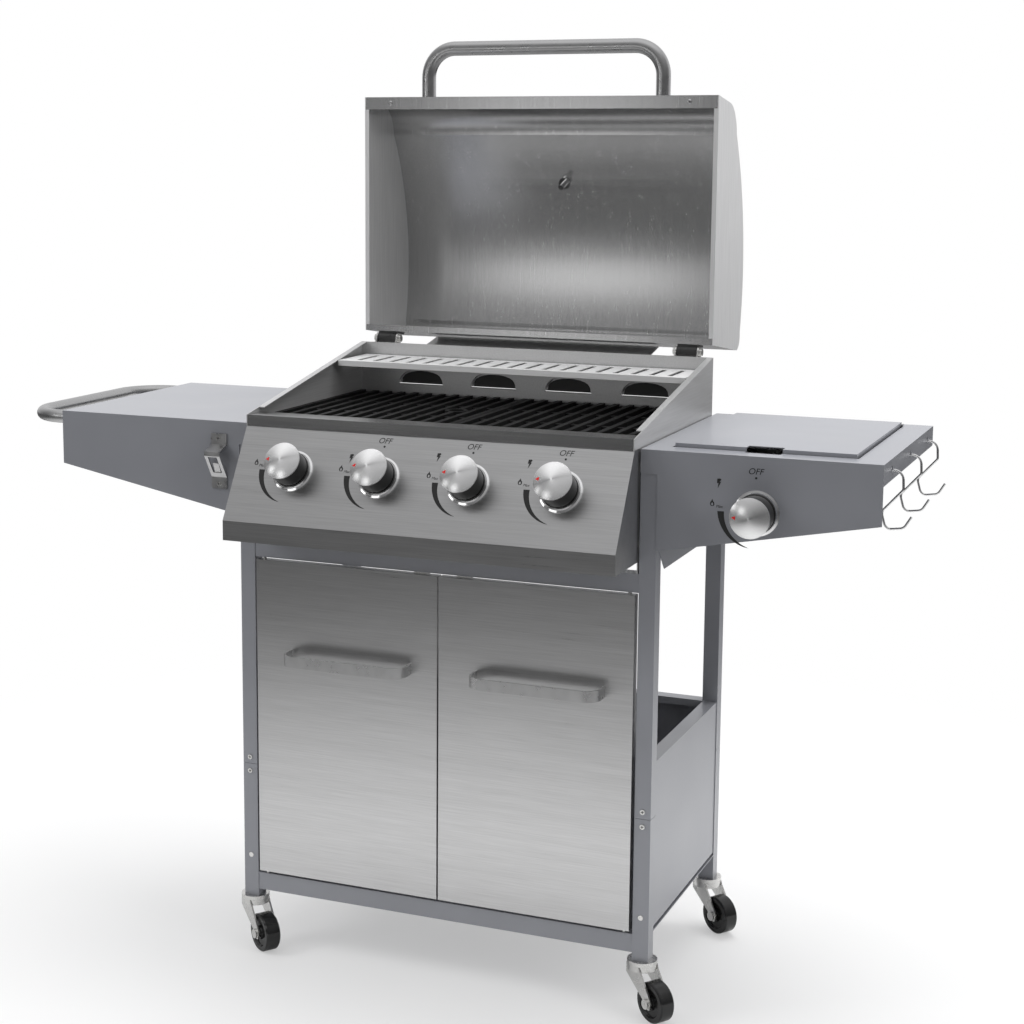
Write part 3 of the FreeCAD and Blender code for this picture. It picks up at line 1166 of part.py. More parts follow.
def make_fasteners():
    pieces = []
    for corner, (x, y) in CORNERS.items():
        pieces.append(joined(
            rod(x, y, "caster_height - 5.5", "race_radius", "5.5"),
            rod(x, y, "caster_height - 5.5 - race_height + 0.5", "swivel_radius", "race_height + 20")))
        front = corner.startswith("front")
        head_y = "-1.6" if front else "cart_depth"
        for rise in (-10, 10):
            pieces.append(rod(x, head_y, "%s + %d" % (SPLIT, rise), "screw_head", "1.6", "Y"))
        plug_y = "-0.8" if front else "cart_depth"
        pieces.append(rod(x, plug_y, "caster_height + 59.6", "3.5", "0.8", "Y"))
    for side in SIDES.values():
        for y in ("leg_size / 2", "cart_depth - leg_size / 2"):
            for drop in (22, 120):
                x = BOX_HALF if side > 0 else "-" + LEG_IN
                pieces.append(rod(x, y, "%s - %d" % (LEG_TOP, drop), "6", "firebox_gap", "X"))
        pin_x = door_pin_x(side)
        pieces.append(rod(pin_x, DOOR_PIN_Y, LOW_RAIL_TOP, "door_pin_radius", "12 + sheet_steel"))
        pieces.append(rod(pin_x, DOOR_PIN_Y, TOP_RAIL + " - 12", "door_pin_radius", "12"))
        pieces.append(block(*about(catch_x(side), CATCH_HALF - 2), DOOR_BACK + " + fit_gap",
                            DOOR_BACK + " + fit_gap + 8", DOOR_TOP + " - 25", TOP_RAIL))
    opener = "-(%s + opener_from_leg)" % HALF
    for way in (-1, 1):
        pieces.append(rod(opener, SHELF_FRONT + " - 4", "%s - opener_drop + %d * 32" % (SHELF, way),
                          "screw_head - 0.5", "2", "Y"))
    sub_part("fasteners", *pieces)


# ---------------------------------------------------------------- build, check, write

for make in (make_legs, make_rails, make_low_panels, make_doors, make_firebox_sides, make_firebox_rear,
             make_firebox_front, make_control_panel, make_knobs, make_gas_line, make_burners,
             make_flame_tamers, make_grates, make_warming_rack, make_grease_tray, make_lid, make_hinges,
             make_left_shelf, make_opener, make_right_shelf, make_side_burner, make_hooks, make_casters,
             make_fasteners):
    make()
doc.recompute()

for item in doc.Objects:
    if "Invalid" in item.State or "Error" in item.State:
        raise RuntimeError("%s did not recompute" % item.Label)
for label, item in NODES.items():
    if item.Shape.isNull() or not item.Shape.isValid() or not item.Shape.Solids:
        raise RuntimeError("%s has no valid solid" % label)

os.makedirs("parts", exist_ok=True)
for label, item in NODES.items():
    item.Shape.exportStep("parts/%s.step" % label)
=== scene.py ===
"""Trolley gas grill: materials, small detail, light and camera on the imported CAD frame."""
import json
import math

import bmesh
import bpy
from mathutils import Matrix, Vector


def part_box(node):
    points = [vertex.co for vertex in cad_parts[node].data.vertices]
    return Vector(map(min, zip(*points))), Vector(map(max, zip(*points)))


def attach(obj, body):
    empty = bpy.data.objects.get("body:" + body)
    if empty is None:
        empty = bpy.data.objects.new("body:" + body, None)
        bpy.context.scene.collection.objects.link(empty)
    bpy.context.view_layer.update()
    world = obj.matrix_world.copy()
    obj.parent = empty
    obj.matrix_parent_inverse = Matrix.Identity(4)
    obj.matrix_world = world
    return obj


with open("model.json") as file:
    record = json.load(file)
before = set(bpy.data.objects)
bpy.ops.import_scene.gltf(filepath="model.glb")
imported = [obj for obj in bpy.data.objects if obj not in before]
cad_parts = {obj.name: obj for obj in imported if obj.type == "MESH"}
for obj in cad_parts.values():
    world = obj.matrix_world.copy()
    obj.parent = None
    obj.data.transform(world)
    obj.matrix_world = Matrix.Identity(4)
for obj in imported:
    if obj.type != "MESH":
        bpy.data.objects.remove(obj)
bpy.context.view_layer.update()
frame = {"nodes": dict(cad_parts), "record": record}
NODES = frame["nodes"]
MM = 0.001
UP = Vector((0, 0, 1))


def frame_about(outward, up=UP):
    """Across, up and outward unit vectors for a face that looks outward."""
    out = Vector(outward).normalized()
    across = Vector(up).cross(out).normalized()
    return across, out.cross(across), out


# ---------------------------------------------------------------- materials


class Look:
    """A node material; its helpers add and link nodes."""

    def __init__(self, name):
        self.material = bpy.data.materials.new(name)
        self.material.use_nodes = True
        self.tree = self.material.node_tree
        self.shader = self.tree.nodes["Principled BSDF"]
        self.place = self.add("ShaderNodeTexCoord").outputs["Object"]

    def add(self, kind, **settings):
        node = self.tree.nodes.new(kind)
        for name, value in settings.items():
            setattr(node, name, value)
        return node

    def put(self, socket, value):
        if isinstance(value, bpy.types.NodeSocket):
            self.tree.links.new(value, socket)
        else:
            socket.default_value = value

    def set(self, name, value):
        self.put(self.shader.inputs[name], value)

    def noise(self, scale, detail=3.0, roughness=0.5):
        """Noise over the piece; scale is repeats per metre along X, Y and Z."""
        mapping = self.add("ShaderNodeMapping")
        self.put(mapping.inputs["Vector"], self.place)
        mapping.inputs["Scale"].default_value = scale
        texture = self.add("ShaderNodeTexNoise")
        self.put(texture.inputs["Vector"], mapping.outputs["Vector"])
        texture.inputs["Scale"].default_value = 1.0
        texture.inputs["Detail"].default_value = detail
        texture.inputs["Roughness"].default_value = roughness
        return texture.outputs["Fac"]

    def ramp(self, factor, low, high, start=0.3, end=0.7):
        node = self.add("ShaderNodeMapRange")
        self.put(node.inputs["Value"], factor)
        node.inputs["From Min"].default_value = start
        node.inputs["From Max"].default_value = end
        node.inputs["To Min"].default_value = low
        node.inputs["To Max"].default_value = high
        return node.outputs["Result"]

    def maths(self, operation, first, second=0.0):
        node = self.add("ShaderNodeMath", operation=operation)
        self.put(node.inputs[0], first)
        self.put(node.inputs[1], second)
        return node.outputs["Value"]

    def mix(self, factor, first, second):
        node = self.add("ShaderNodeMix", data_type="RGBA")
        self.put(node.inputs["Factor"], factor)
        self.put(node.inputs[6], first)
        self.put(node.inputs[7], second)
        return node.outputs[2]

    def along(self, direction):
        """Distance along a direction from the origin, in metres."""
        node = self.add("ShaderNodeVectorMath", operation="DOT_PRODUCT")
        self.put(node.inputs[0], self.place)
        node.inputs[1].default_value = direction
        return node.outputs["Value"]

    def bump(self, height, strength, distance=0.0002):
        node = self.add("ShaderNodeBump")
        self.put(node.inputs["Height"], height)
        node.inputs["Strength"].default_value = strength
        node.inputs["Distance"].default_value = distance
        self.set("Normal", node.outputs["Normal"])

    def grain_direction(self, direction):
        node = self.add("ShaderNodeCombineXYZ")
        for index in range(3):
            node.inputs[index].default_value = direction[index]
        self.set("Tangent", node.outputs["Vector"])


def grey(level, tint=(1.0, 1.0, 1.0)):
    return (level * tint[0], level * tint[1], level * tint[2], 1.0)


def brushed(name, tone, grain, rough=0.3, stretch=0.75, contrast=0.1, streaks=0.03):
    """Brushed sheet: fine hairlines along grain (0 for X, 1 for Y, 2 for Z), with broader bands."""
    look = Look(name)
    fine = [620.0, 620.0, 620.0]
    fine[grain] = 12.0
    broad = [90.0, 90.0, 90.0]
    broad[grain] = 2.0
    hairline = look.noise(fine, detail=4.0, roughness=0.65)
    band = look.noise(broad, detail=3.0, roughness=0.5)
    both = look.maths("ADD", look.maths("MULTIPLY", hairline, 0.7), look.maths("MULTIPLY", band, 0.3))
    shade = look.ramp(both, 0.0, 1.0, 0.34, 0.66)
    look.set("Base Color", look.mix(shade, grey(tone * (1 - contrast)), grey(tone * (1 + contrast))))
    look.set("Metallic", 1.0)
    look.set("Roughness", look.ramp(both, rough - streaks, rough + streaks))
    look.set("Anisotropic", stretch)
    direction = [0.0, 0.0, 0.0]
    direction[grain] = 1.0
    look.grain_direction(direction)
    look.bump(hairline, 0.08, 0.00005)
    return look.material


def satin(name, tone, grain, rough=0.4, metal=0.55):
    """Sheet with a sanded finish, which scatters more light than brushed sheet."""
    look = Look(name)
    fine = [520.0, 520.0, 520.0]
    fine[grain] = 14.0
    hairline = look.noise(fine, detail=4.0, roughness=0.6)
    shade = look.ramp(hairline, 0.0, 1.0, 0.34, 0.66)
    look.set("Base Color", look.mix(shade, grey(tone * 0.93), grey(tone * 1.06)))
    look.set("Metallic", metal)
    look.set("Roughness", look.ramp(hairline, rough - 0.04, rough + 0.05))
    look.bump(hairline, 0.06, 0.00005)
    return look.material


def painted(name, colour, rough=0.32, specks=0.02):
    """Powder-coated sheet: slight orange peel, a little unevenness in colour and gloss."""
    look = Look(name)
    patches = look.noise((7.0, 7.0, 7.0), detail=2.0)
    peel = look.noise((420.0, 420.0, 420.0), detail=2.0)
    light = [min(1.0, channel * (1 + specks * 2)) for channel in colour[:3]] + [1.0]
    dark = [channel * (1 - specks * 2) for channel in colour[:3]] + [1.0]
    look.set("Base Color", look.mix(look.ramp(patches, 0.0, 1.0), dark, light))
    look.set("Roughness", look.ramp(patches, rough - 0.04, rough + 0.05))
    look.set("Metallic", 0.15)
    look.set("Coat Weight", 0.25)
    look.set("Coat Roughness", 0.12)
    look.bump(peel, 0.06, 0.00012)
    return look.material


def bright(name, tone, rough, tint=(1.0, 1.0, 1.0), scale=300.0):
    """Plated or polished metal with faint smears."""
    look = Look(name)
    smear = look.noise((60.0, 60.0, 60.0), detail=4.0)
    grit = look.noise((scale, scale, scale), detail=3.0)
    dull, clean = grey(tone * 0.93, tint), grey(tone * 1.04, tint)
    look.set("Base Color", look.mix(look.ramp(smear, 0.0, 1.0), dull, clean))
    look.set("Metallic", 1.0)
    look.set("Roughness", look.ramp(smear, rough * 0.75, rough * 1.3))
    look.bump(grit, 0.015, 0.00003)
    return look.material


def cast_iron(name):
    look = Look(name)
    pores = look.noise((520.0, 520.0, 520.0), detail=5.0, roughness=0.65)
    patches = look.noise((28.0, 28.0, 28.0), detail=3.0)
    look.set("Base Color", look.mix(look.ramp(patches, 0.0, 1.0), grey(0.004), grey(0.012)))
    look.set("Roughness", look.ramp(pores, 0.42, 0.7))
    look.set("Specular IOR Level", 0.3)
    look.bump(pores, 0.5, 0.0004)
    return look.material


def black_gloss(name, tone=0.012, rough=0.2, scale=90.0):
    look = Look(name)
    wear = look.noise((scale, scale, scale), detail=4.0)
    look.set("Base Color", look.mix(look.ramp(wear, 0.0, 1.0), grey(tone * 0.7), grey(tone * 1.6)))
    look.set("Roughness", look.ramp(wear, rough * 0.8, rough * 1.4))
    look.bump(look.noise((600.0, 600.0, 600.0)), 0.04, 0.0001)
    return look.material


def printed(name, tone):
    look = Look(name)
    look.set("Base Color", look.mix(look.noise((900.0, 900.0, 900.0)), grey(tone * 0.8), grey(tone * 1.2)))
    look.set("Roughness", 0.45)
    return look.material


def red_ink(name):
    look = Look(name)
    dark, light = (0.62, 0.012, 0.01, 1), (0.75, 0.02, 0.015, 1)
    look.set("Base Color", look.mix(look.noise((500.0, 500.0, 500.0)), dark, light))
    return look.material


def knob_look(name, outward, cap_from, apex):
    """A black skirt, and beyond cap_from a metal cap whose colour carries painted reflection: light and dark
    sweeps about the apex, over its spun grain.
    """
    look = Look(name)
    metal = look.ramp(look.along(outward), 0.0, 1.0, cap_from - 0.0002, cap_from + 0.0002)
    across, up, out = frame_about(outward)
    arm = look.add("ShaderNodeVectorMath", operation="SUBTRACT")
    look.put(arm.inputs[0], look.place)
    arm.inputs[1].default_value = apex
    sides = []
    for way in (across, up):
        node = look.add("ShaderNodeVectorMath", operation="DOT_PRODUCT")
        look.put(node.inputs[0], arm.outputs["Vector"])
        node.inputs[1].default_value = way
        sides.append(node.outputs["Value"])
    turn = look.maths("ARCTAN2", sides[1], sides[0])
    # painted reflection: two bright and two dark lobes at fixed angles round the cap, put into its colour
    sweep = look.maths("ABSOLUTE", look.maths("COSINE", look.maths("ADD", turn, 1.2)))
    fine = look.add("ShaderNodeTexNoise", noise_dimensions="1D")
    look.put(fine.inputs["W"], look.maths("MULTIPLY", turn, 26.0))
    fine.inputs["Detail"].default_value = 4.0
    shade = look.ramp(look.maths("ADD", look.maths("MULTIPLY", sweep, 0.75),
                                 look.maths("MULTIPLY", fine.outputs["Fac"], 0.35)), 0.0, 1.0, 0.1, 1.0)
    look.set("Base Color", look.mix(metal, grey(0.012), look.mix(shade, grey(0.42), grey(0.95))))
    look.set("Metallic", look.maths("MULTIPLY", metal, 0.75))
    look.set("Roughness", look.mix(metal, grey(0.3), grey(0.27)))
    look.bump(fine.outputs["Fac"], 0.05, 0.00005)
    return look.material


FRAME_PAINT = painted("frame_paint", (0.285, 0.292, 0.318, 1.0))
STEEL_X = brushed("steel_grain_across", 0.56, 0, rough=0.3)
STRIP_STEEL = brushed("steel_ledge", 0.5, 0, rough=0.22, stretch=0.6)
INNER_STEEL = brushed("steel_grain_upright", 0.56, 2, rough=0.26, stretch=0.5, contrast=0.08, streaks=0.02)
END_STEEL = satin("steel_lid_ends", 0.78, 2, 0.42, 0.4)
WALL_STEEL = satin("steel_firebox_walls", 0.58, 1, 0.38, 0.6)
RACK_STEEL = satin("steel_rack", 0.82, 0, 0.42, 0.25)
TUBE_STEEL = bright("steel_tube", 0.5, 0.3)
CHROME = bright("chrome", 0.78, 0.1)
ZINC = bright("zinc", 0.72, 0.26, (1.0, 0.995, 0.97))
BRASS = bright("brass", 0.62, 0.3, (1.0, 0.8, 0.45))
IRON = cast_iron("cast_iron")
BURNER_STEEL = bright("burner_steel", 0.45, 0.4)
HINGE_BLACK = black_gloss("hinge_black", 0.02, 0.32)
# black plastic of the wheels, also used for the painted shadow rings inside the bezels
WHEEL_AND_SHADOW_BLACK = black_gloss("wheel_black_and_shadow", 0.010, 0.16)
# black ink for the dial print, also used as painted shade for the screws' cross recesses
INK_AND_RECESS_SHADE = printed("dial_ink_and_recess_shade", 0.012)
RED_INK = red_ink("pointer_red")
# a flat dark colour for plates of painted shade inside the louvres
SHADE = printed("deep_shade", 0.02)

TILT = math.radians(30.6)
PANEL_OUT = Vector((0, -math.cos(TILT), math.sin(TILT)))
PANEL_UP = Vector((0, math.sin(TILT), math.cos(TILT)))
FRONT = Vector((0, -1, 0))


def middle(node):
    low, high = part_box(node)
    return (low + high) / 2


def paint(node, material):
    data = NODES[node].data
    data.materials.clear()
    data.materials.append(material)


def soften(node, width, angle=35, segments=2):
    """Rounded edges and smooth shading on a carried-over node."""
    item = NODES[node]
    bevel = item.modifiers.new("edges", "BEVEL")
    bevel.width = width
    bevel.segments = segments
    bevel.limit_method = "ANGLE"
    bevel.angle_limit = math.radians(angle)
    bevel.harden_normals = False
    for face in item.data.polygons:
        face.use_smooth = True
    smooth = item.modifiers.new("normals", "WEIGHTED_NORMAL")
    smooth.keep_sharp = True


LEGS = ["leg_front_left", "leg_front_right", "leg_rear_left", "leg_rear_right"]
DOOR_HANDLES = ["door_handle_left", "door_handle_right"]
HOOKS = ["hook_front", "hook_middle", "hook_rear"]

SKINS = {
    FRAME_PAINT: LEGS + ["cart_rails", "bottom_shelf", "side_panels", "rear_panel", "shelf_left",
                         "shelf_right", "side_burner_lid"],
    STEEL_X: ["door_left", "door_right", "control_panel"],
    STRIP_STEEL: ["firebox_front"],
    INNER_STEEL: ["lid_shell"],
    END_STEEL: ["lid_end_left", "lid_end_right"],
    WALL_STEEL: ["firebox_left", "firebox_right", "firebox_rear"],
    RACK_STEEL: ["warming_rack", "grease_tray"],
    TUBE_STEEL: ["lid_handle", "shelf_bar_handle", "bottle_opener", "side_burner"] + DOOR_HANDLES,
    CHROME: ["knob_bezels", "thermometer"] + HOOKS,
    ZINC: ["hinge_brackets", "fasteners"] + [name for name in NODES if name.startswith("caster_fork")],
    BRASS: ["gas_manifold"] + [name for name in NODES if name.startswith("valve_stem")],
    IRON: ["grate_left", "grate_right"],
    BURNER_STEEL: ["burners", "flame_tamers"],
    HINGE_BLACK: ["lid_hinges"],
    WHEEL_AND_SHADOW_BLACK: [name for name in NODES if name.startswith("caster_wheel")],
}
for skin, names in SKINS.items():
    for node_name in names:
        paint(node_name, skin)

KNOBS = ["knob_1", "knob_2", "knob_3", "knob_4", "knob_side"]
STAND, SKIRT, CAP, DOME = 9 * MM, 27 * MM, 8 * MM, 6 * MM
CAP_RADIUS = 25.5 * MM


def knob_axis(name):
    return FRONT if name == "knob_side" else PANEL_OUT


def knob_apex(name):
    """The top of the knob's dome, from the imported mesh."""
    outward = knob_axis(name)
    data = NODES[name].data
    return max((vertex.co for vertex in data.vertices), key=lambda co: co.dot(outward)).copy()


for name in KNOBS:
    apex = knob_apex(name)
    edge = (apex - knob_axis(name) * CAP).dot(knob_axis(name))
    paint(name, knob_look("look_" + name, knob_axis(name), edge, apex))

# bevel width of each node's edges
EDGES = {0.9 * MM: DOOR_HANDLES + ["grate_left", "grate_right"],
         1.2 * MM: LEGS + ["cart_rails"],
         0.4 * MM: ["door_left", "door_right", "control_panel", "firebox_front", "firebox_rear",
                    "firebox_left", "firebox_right", "shelf_left", "shelf_right", "side_burner",
                    "side_burner_lid", "lid_shell", "lid_end_left", "lid_end_right", "warming_rack",
                    "side_panels", "rear_panel", "bottle_opener", "hinge_brackets", "lid_hinges",
                    "fasteners", "thermometer"],
         0.7 * MM: [name for name in NODES if name.startswith("caster_")] + KNOBS + ["knob_bezels"]}
for width, names in EDGES.items():
    for name in names:
        soften(name, width)
for name in ["lid_handle", "shelf_bar_handle", "burners", "gas_manifold"] + HOOKS:
    for face in NODES[name].data.polygons:
        face.use_smooth = True

# ---------------------------------------------------------------- small pieces


def piece(name, vertices, faces, material, body, smooth=False):
    mesh = bpy.data.meshes.new(name)
    mesh.from_pydata([tuple(v) for v in vertices], [], faces)
    mesh.materials.append(material)
    if smooth:
        for face in mesh.polygons:
            face.use_smooth = True
    item = bpy.data.objects.new(name, mesh)
    bpy.context.scene.collection.objects.link(item)
    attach(item, body)
    return item


def lathe(name, centre, outward, profile, material, body, steps=40):
    """A turned piece: profile is (radius, height) along outward from centre, in millimetres."""
    across, up, out = frame_about(outward)
    vertices, faces = [], []
    for radius, height in profile:
        for step in range(steps):
            angle = 2 * math.pi * step / steps
            ring = across * math.cos(angle) + up * math.sin(angle)
            vertices.append(Vector(centre) + ring * radius * MM + out * height * MM)
    for level in range(len(profile) - 1):
        for step in range(steps):
            a, b = level * steps + step, level * steps + (step + 1) % steps
            faces.append((a, b, b + steps, a + steps))
    faces.append(tuple(range(steps))[::-1])
    faces.append(tuple(range((len(profile) - 1) * steps, len(profile) * steps)))
    item = piece(name, vertices, faces, material, body, True)
    edge = item.modifiers.new("edges", "EDGE_SPLIT")
    edge.split_angle = math.radians(40)
    return item


def plate(name, centre, outward, outline, material, body, thick=0.12, up=UP, lift=0.0):
    """A thin printed or cut shape, or a dark plate of painted shade: outline is (across, up) in millimetres
    about centre.
    """
    across, rise, out = frame_about(outward, up)
    base = [Vector(centre) + across * x * MM + rise * y * MM + out * lift * MM for x, y in outline]
    top = [corner + out * thick * MM for corner in base]
    count = len(outline)
    faces = [tuple(range(count))[::-1], tuple(range(count, 2 * count))]
    faces += [(i, (i + 1) % count, count + (i + 1) % count, count + i) for i in range(count)]
    return piece(name, base + top, faces, material, body)


def cross_outline(arm, half):
    """A screw's cross recess: arm is its reach and half its half width, in millimetres."""
    return [(-half, arm), (-half, half), (-arm, half), (-arm, -half), (-half, -half), (-half, -arm),
            (half, -arm), (half, -half), (arm, -half), (arm, half), (half, half), (half, arm)]


def cross_screw(name, spot, outward, radius, body, material=CHROME, height=1.8):
    """A domed screw head with a cross recess, drawn as a flat dark plate of painted shade on its top."""
    profile = [(radius, 0.0), (radius, height * 0.25)]
    for step in range(1, 6):
        angle = step / 6 * math.pi / 2
        profile.append((radius * math.cos(angle), height * (0.25 + 0.75 * math.sin(angle))))
    lathe(name, spot, outward, profile, material, body, 24)
    plate(name + "_recess", spot, outward, cross_outline(radius * 0.52, radius * 0.11), INK_AND_RECESS_SHADE, body, 0.06,
          lift=height * 0.965)


def words(name, text, spot, outward, size, material, body, lean=0.25, up=UP, lift=0.1):
    across, rise, out = frame_about(outward, up)
    curve = bpy.data.curves.new(name, "FONT")
    curve.body = text
    curve.size = size * MM
    curve.shear = lean
    curve.extrude = 0.00005
    curve.align_x = "CENTER"
    curve.align_y = "CENTER"
    curve.materials.append(material)
    item = bpy.data.objects.new(name, curve)
    bpy.context.scene.collection.objects.link(item)
    turn = Matrix((across, rise, out)).transposed().to_4x4()
    item.matrix_world = Matrix.Translation(Vector(spot) + out * lift * MM) @ turn
    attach(item, body)
    return item


def crescent(radius, start, end, width, steps=18):
    """A tapered arc, widest at its start: points in millimetres about the knob's axis."""
    outer, inner = [], []
    for step in range(steps + 1):
        share = step / steps
        angle = math.radians(start + (end - start) * share)
        wide = width * (1 - share) ** 0.8
        outer.append(((radius + wide / 2) * math.cos(angle), (radius + wide / 2) * math.sin(angle)))
        inner.append(((radius - wide / 2) * math.cos(angle), (radius - wide / 2) * math.sin(angle)))
    return outer + inner[::-1]


# outlines of the dial marks, in millimetres
DOT = [(1.5 * math.cos(step * math.pi / 8), 1.5 * math.sin(step * math.pi / 8)) for step in range(16)]
BOLT = [(1.5, 6.5), (-2.2, 6.0), (-2.6, 0.4), (-0.6, 0.8), (-1.4, -6.0), (2.8, 2.6), (0.8, 2.2), (3.2, 5.2)]
FLAME = [(0, 5.2), (-1.2, 2.6), (-2.6, 0.8), (-2.9, -1.8), (-1.6, -4.0), (1.6, -4.0), (2.9, -1.8),
         (2.4, 0.8), (0.9, 2.4)]
FLAME_HEART = [(0, 0.9), (-1.3, -1.0), (-1.1, -2.8), (0, -3.3), (1.1, -2.8), (1.3, -1.0)]

# where the marks stand about the knob's axis, across and up in millimetres, and the letters' heights
OFF_SPOT, DOT_SPOT, FLAME_SPOT, MOST_SPOT = (-3, 52), (-2, 44), (-57, 9), (-48, 5)
SPARK_SPOT, NEAR_SPARK_SPOT = (-49, 34), (-46, 24)
OFF_SIZE, MOST_SIZE = 11, 5.2
# the tapered arc: radius, start and end in degrees, and width at its start
SWEEP = (46, 181, 258, 8.5)


def dial_marks(name, spot, outward, body, ground):
    """The printed marks round one knob; the leftmost knob has no OFF, dot or spark."""
    across, rise, out = frame_about(outward)

    def at(place):
        return spot + across * place[0] * MM + rise * place[1] * MM

    if name != "marks_1":
        words(name + "_off", "OFF", at(OFF_SPOT), outward, OFF_SIZE, INK_AND_RECESS_SHADE, body)
        plate(name + "_dot", at(DOT_SPOT), outward, DOT, INK_AND_RECESS_SHADE, body)
        spark_spot = NEAR_SPARK_SPOT if name == "marks_2" else SPARK_SPOT
        plate(name + "_spark", at(spark_spot), outward, BOLT, INK_AND_RECESS_SHADE, body)
    plate(name + "_flame", at(FLAME_SPOT), outward, FLAME, INK_AND_RECESS_SHADE, body)
    plate(name + "_flame_heart", at(FLAME_SPOT), outward, FLAME_HEART, ground, body, 0.05, lift=0.12)
    words(name + "_most", "Max", at(MOST_SPOT), outward, MOST_SIZE, INK_AND_RECESS_SHADE, body)
    plate(name + "_sweep", spot, outward, crescent(*SWEEP), INK_AND_RECESS_SHADE, body)


def pointer(name, body):
    """A red triangle lying on the knob's dome, pointing outwards at nine o'clock."""
    outward = knob_axis(name)
    across, rise, out = frame_about(outward)
    apex = knob_apex(name)
    ball = (CAP_RADIUS ** 2 + DOME ** 2) / (2 * DOME) / MM
    tip, long, wide, over_dome = -22.4, 5.6, 2.6, 0.12
    rows, columns = 6, 5
    vertices, faces = [], []
    for row in range(rows + 1):
        x = tip + long * row / rows
        half = wide * row / rows
        for column in range(columns):
            y = half * (column / 2 - 1)
            drop = ball - math.sqrt(ball ** 2 - x * x - y * y)
            vertices.append(apex + across * x * MM + rise * y * MM - out * (drop - over_dome) * MM)
    for row in range(rows):
        for column in range(columns - 1):
            a = row * columns + column
            faces.append((a, a + 1, a + columns + 1, a + columns))
    item = piece("pointer_" + name, vertices, faces, RED_INK, body)
    thick = item.modifiers.new("thick", "SOLIDIFY")
    thick.thickness = 0.0001


BEHAVIOUR = frame["record"]["behaviour"]
BODY_OF = {name: body for body, names in BEHAVIOUR["bodies"].items() for name in names}

# a black ring as painted shadow in the gap inside each bezel, as radius and height above the panel in
# millimetres
SHADOW_RING = [(24.9, 5.0), (24.9, 6.4), (24.2, 7.0), (19.0, 7.0), (19.0, 5.0)]
for index, name in enumerate(KNOBS):
    outward = knob_axis(name)
    spot = knob_apex(name) - outward * (STAND + SKIRT + CAP)
    ground = FRAME_PAINT if name == "knob_side" else STEEL_X
    dial_marks("marks_%d" % (index + 1), spot, outward, "cart", ground)
    pointer(name, BODY_OF[name])
    lathe("shadow_ring_%d" % (index + 1), spot, outward, SHADOW_RING, WHEEL_AND_SHADOW_BLACK, "cart", 64)

# two screws in the lid's rim
RIM_SCREW_OUT, RIM_SCREW_DOWN, RIM_SCREW_RADIUS = 230.6 * MM, 9 * MM, 3.6
SIDES = {-1: "left", 1: "right"}
lid_low, lid_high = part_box("lid_shell")
lid_middle = middle("lid_shell").x
for side, side_name in SIDES.items():
    cross_screw("lid_rim_screw_%s" % side_name,
                (lid_middle + side * RIM_SCREW_OUT, lid_low.y, lid_high.z - RIM_SCREW_DOWN), FRONT,
                RIM_SCREW_RADIUS, "lid")


def islands(name):
    """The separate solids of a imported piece, each as its lower and upper corner."""
    data = NODES[name].data
    group = list(range(len(data.vertices)))

    def root(index):
        while group[index] != index:
            group[index] = group[group[index]]
            index = group[index]
        return index

    for line in data.edges:
        first, second = root(line.vertices[0]), root(line.vertices[1])
        if first != second:
            group[first] = second
    corners = {}
    for vertex in data.vertices:
        corners.setdefault(root(vertex.index), []).append(vertex.co)
    return [(Vector([min(co[axis] for co in points) for axis in range(3)]),
             Vector([max(co[axis] for co in points) for axis in range(3)])) for points in corners.values()]


# dark crosses as painted shade for the recesses in the heads of the leg and opener screws, which are the
# small discs that lie along Y
HEAD_WIDTH, HEAD_THIN, HEAD_THICK = 8 * MM, 1.0 * MM, 2.5 * MM
for number, (low, high) in enumerate(islands("fasteners")):
    size = high - low
    if max(size.x, size.z) < HEAD_WIDTH and HEAD_THIN < size.y < HEAD_THICK:
        front = low.y < 0
        centre = (low + high) / 2
        spot = (centre.x, low.y if front else high.y, centre.z)
        plate("screw_cross_shade_%d" % number, spot, FRONT if front else -FRONT,
              cross_outline(size.x * 0.3 / MM, size.x * 0.07 / MM), INK_AND_RECESS_SHADE, "cart", 0.04)

# the louvres: in each recess a dark plate stands as painted shade, with a bright cut edge below; half width
# and height in millimetres
LOUVRE_HALF, LOUVRE_HIGH, LOUVRE_SHARE, LOUVRE_OVER_LEG = 36.0, 20.0, 0.2132, 26 * MM
WALL_FACE, LOUVRE_BACK = 135.2 * MM, 141.0 * MM
ARC_STEPS, ARC_NARROW, ARC_FLATTEN, ARC_SHORT = 12, 0.93, 0.62, 0.8
SHADE_LOW, THIN = 0.4, 0.1
box_low, box_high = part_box("control_panel")
box_middle, box_wide = (box_low.x + box_high.x) / 2, box_high.x - box_low.x
flat_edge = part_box("leg_front_left")[1].z + LOUVRE_OVER_LEG


def rectangle(half, low, high):
    return [(-half, low), (half, low), (half, high), (-half, high)]


def hood_outline():
    """A flattened arch a little inside the louvre's own outline."""
    outline = []
    for step in range(ARC_STEPS + 1):
        angle = step / ARC_STEPS * math.pi
        rise = LOUVRE_HIGH * math.sin(angle) ** ARC_FLATTEN - ARC_SHORT
        outline.append((LOUVRE_HALF * math.cos(angle) * ARC_NARROW, max(rise, SHADE_LOW)))
    return outline


for number, share in enumerate((-1.5, -0.5, 0.5, 1.5), start=1):
    across = box_middle + share * LOUVRE_SHARE * box_wide
    plate("louvre_shade_%d" % number, (across, LOUVRE_BACK, flat_edge), FRONT, hood_outline(), SHADE,
          "cart", THIN)
    plate("louvre_edge_%d" % number, (across, WALL_FACE, flat_edge), FRONT,
          rectangle(LOUVRE_HALF, -1.0, 0.1), CHROME, "cart", THIN)

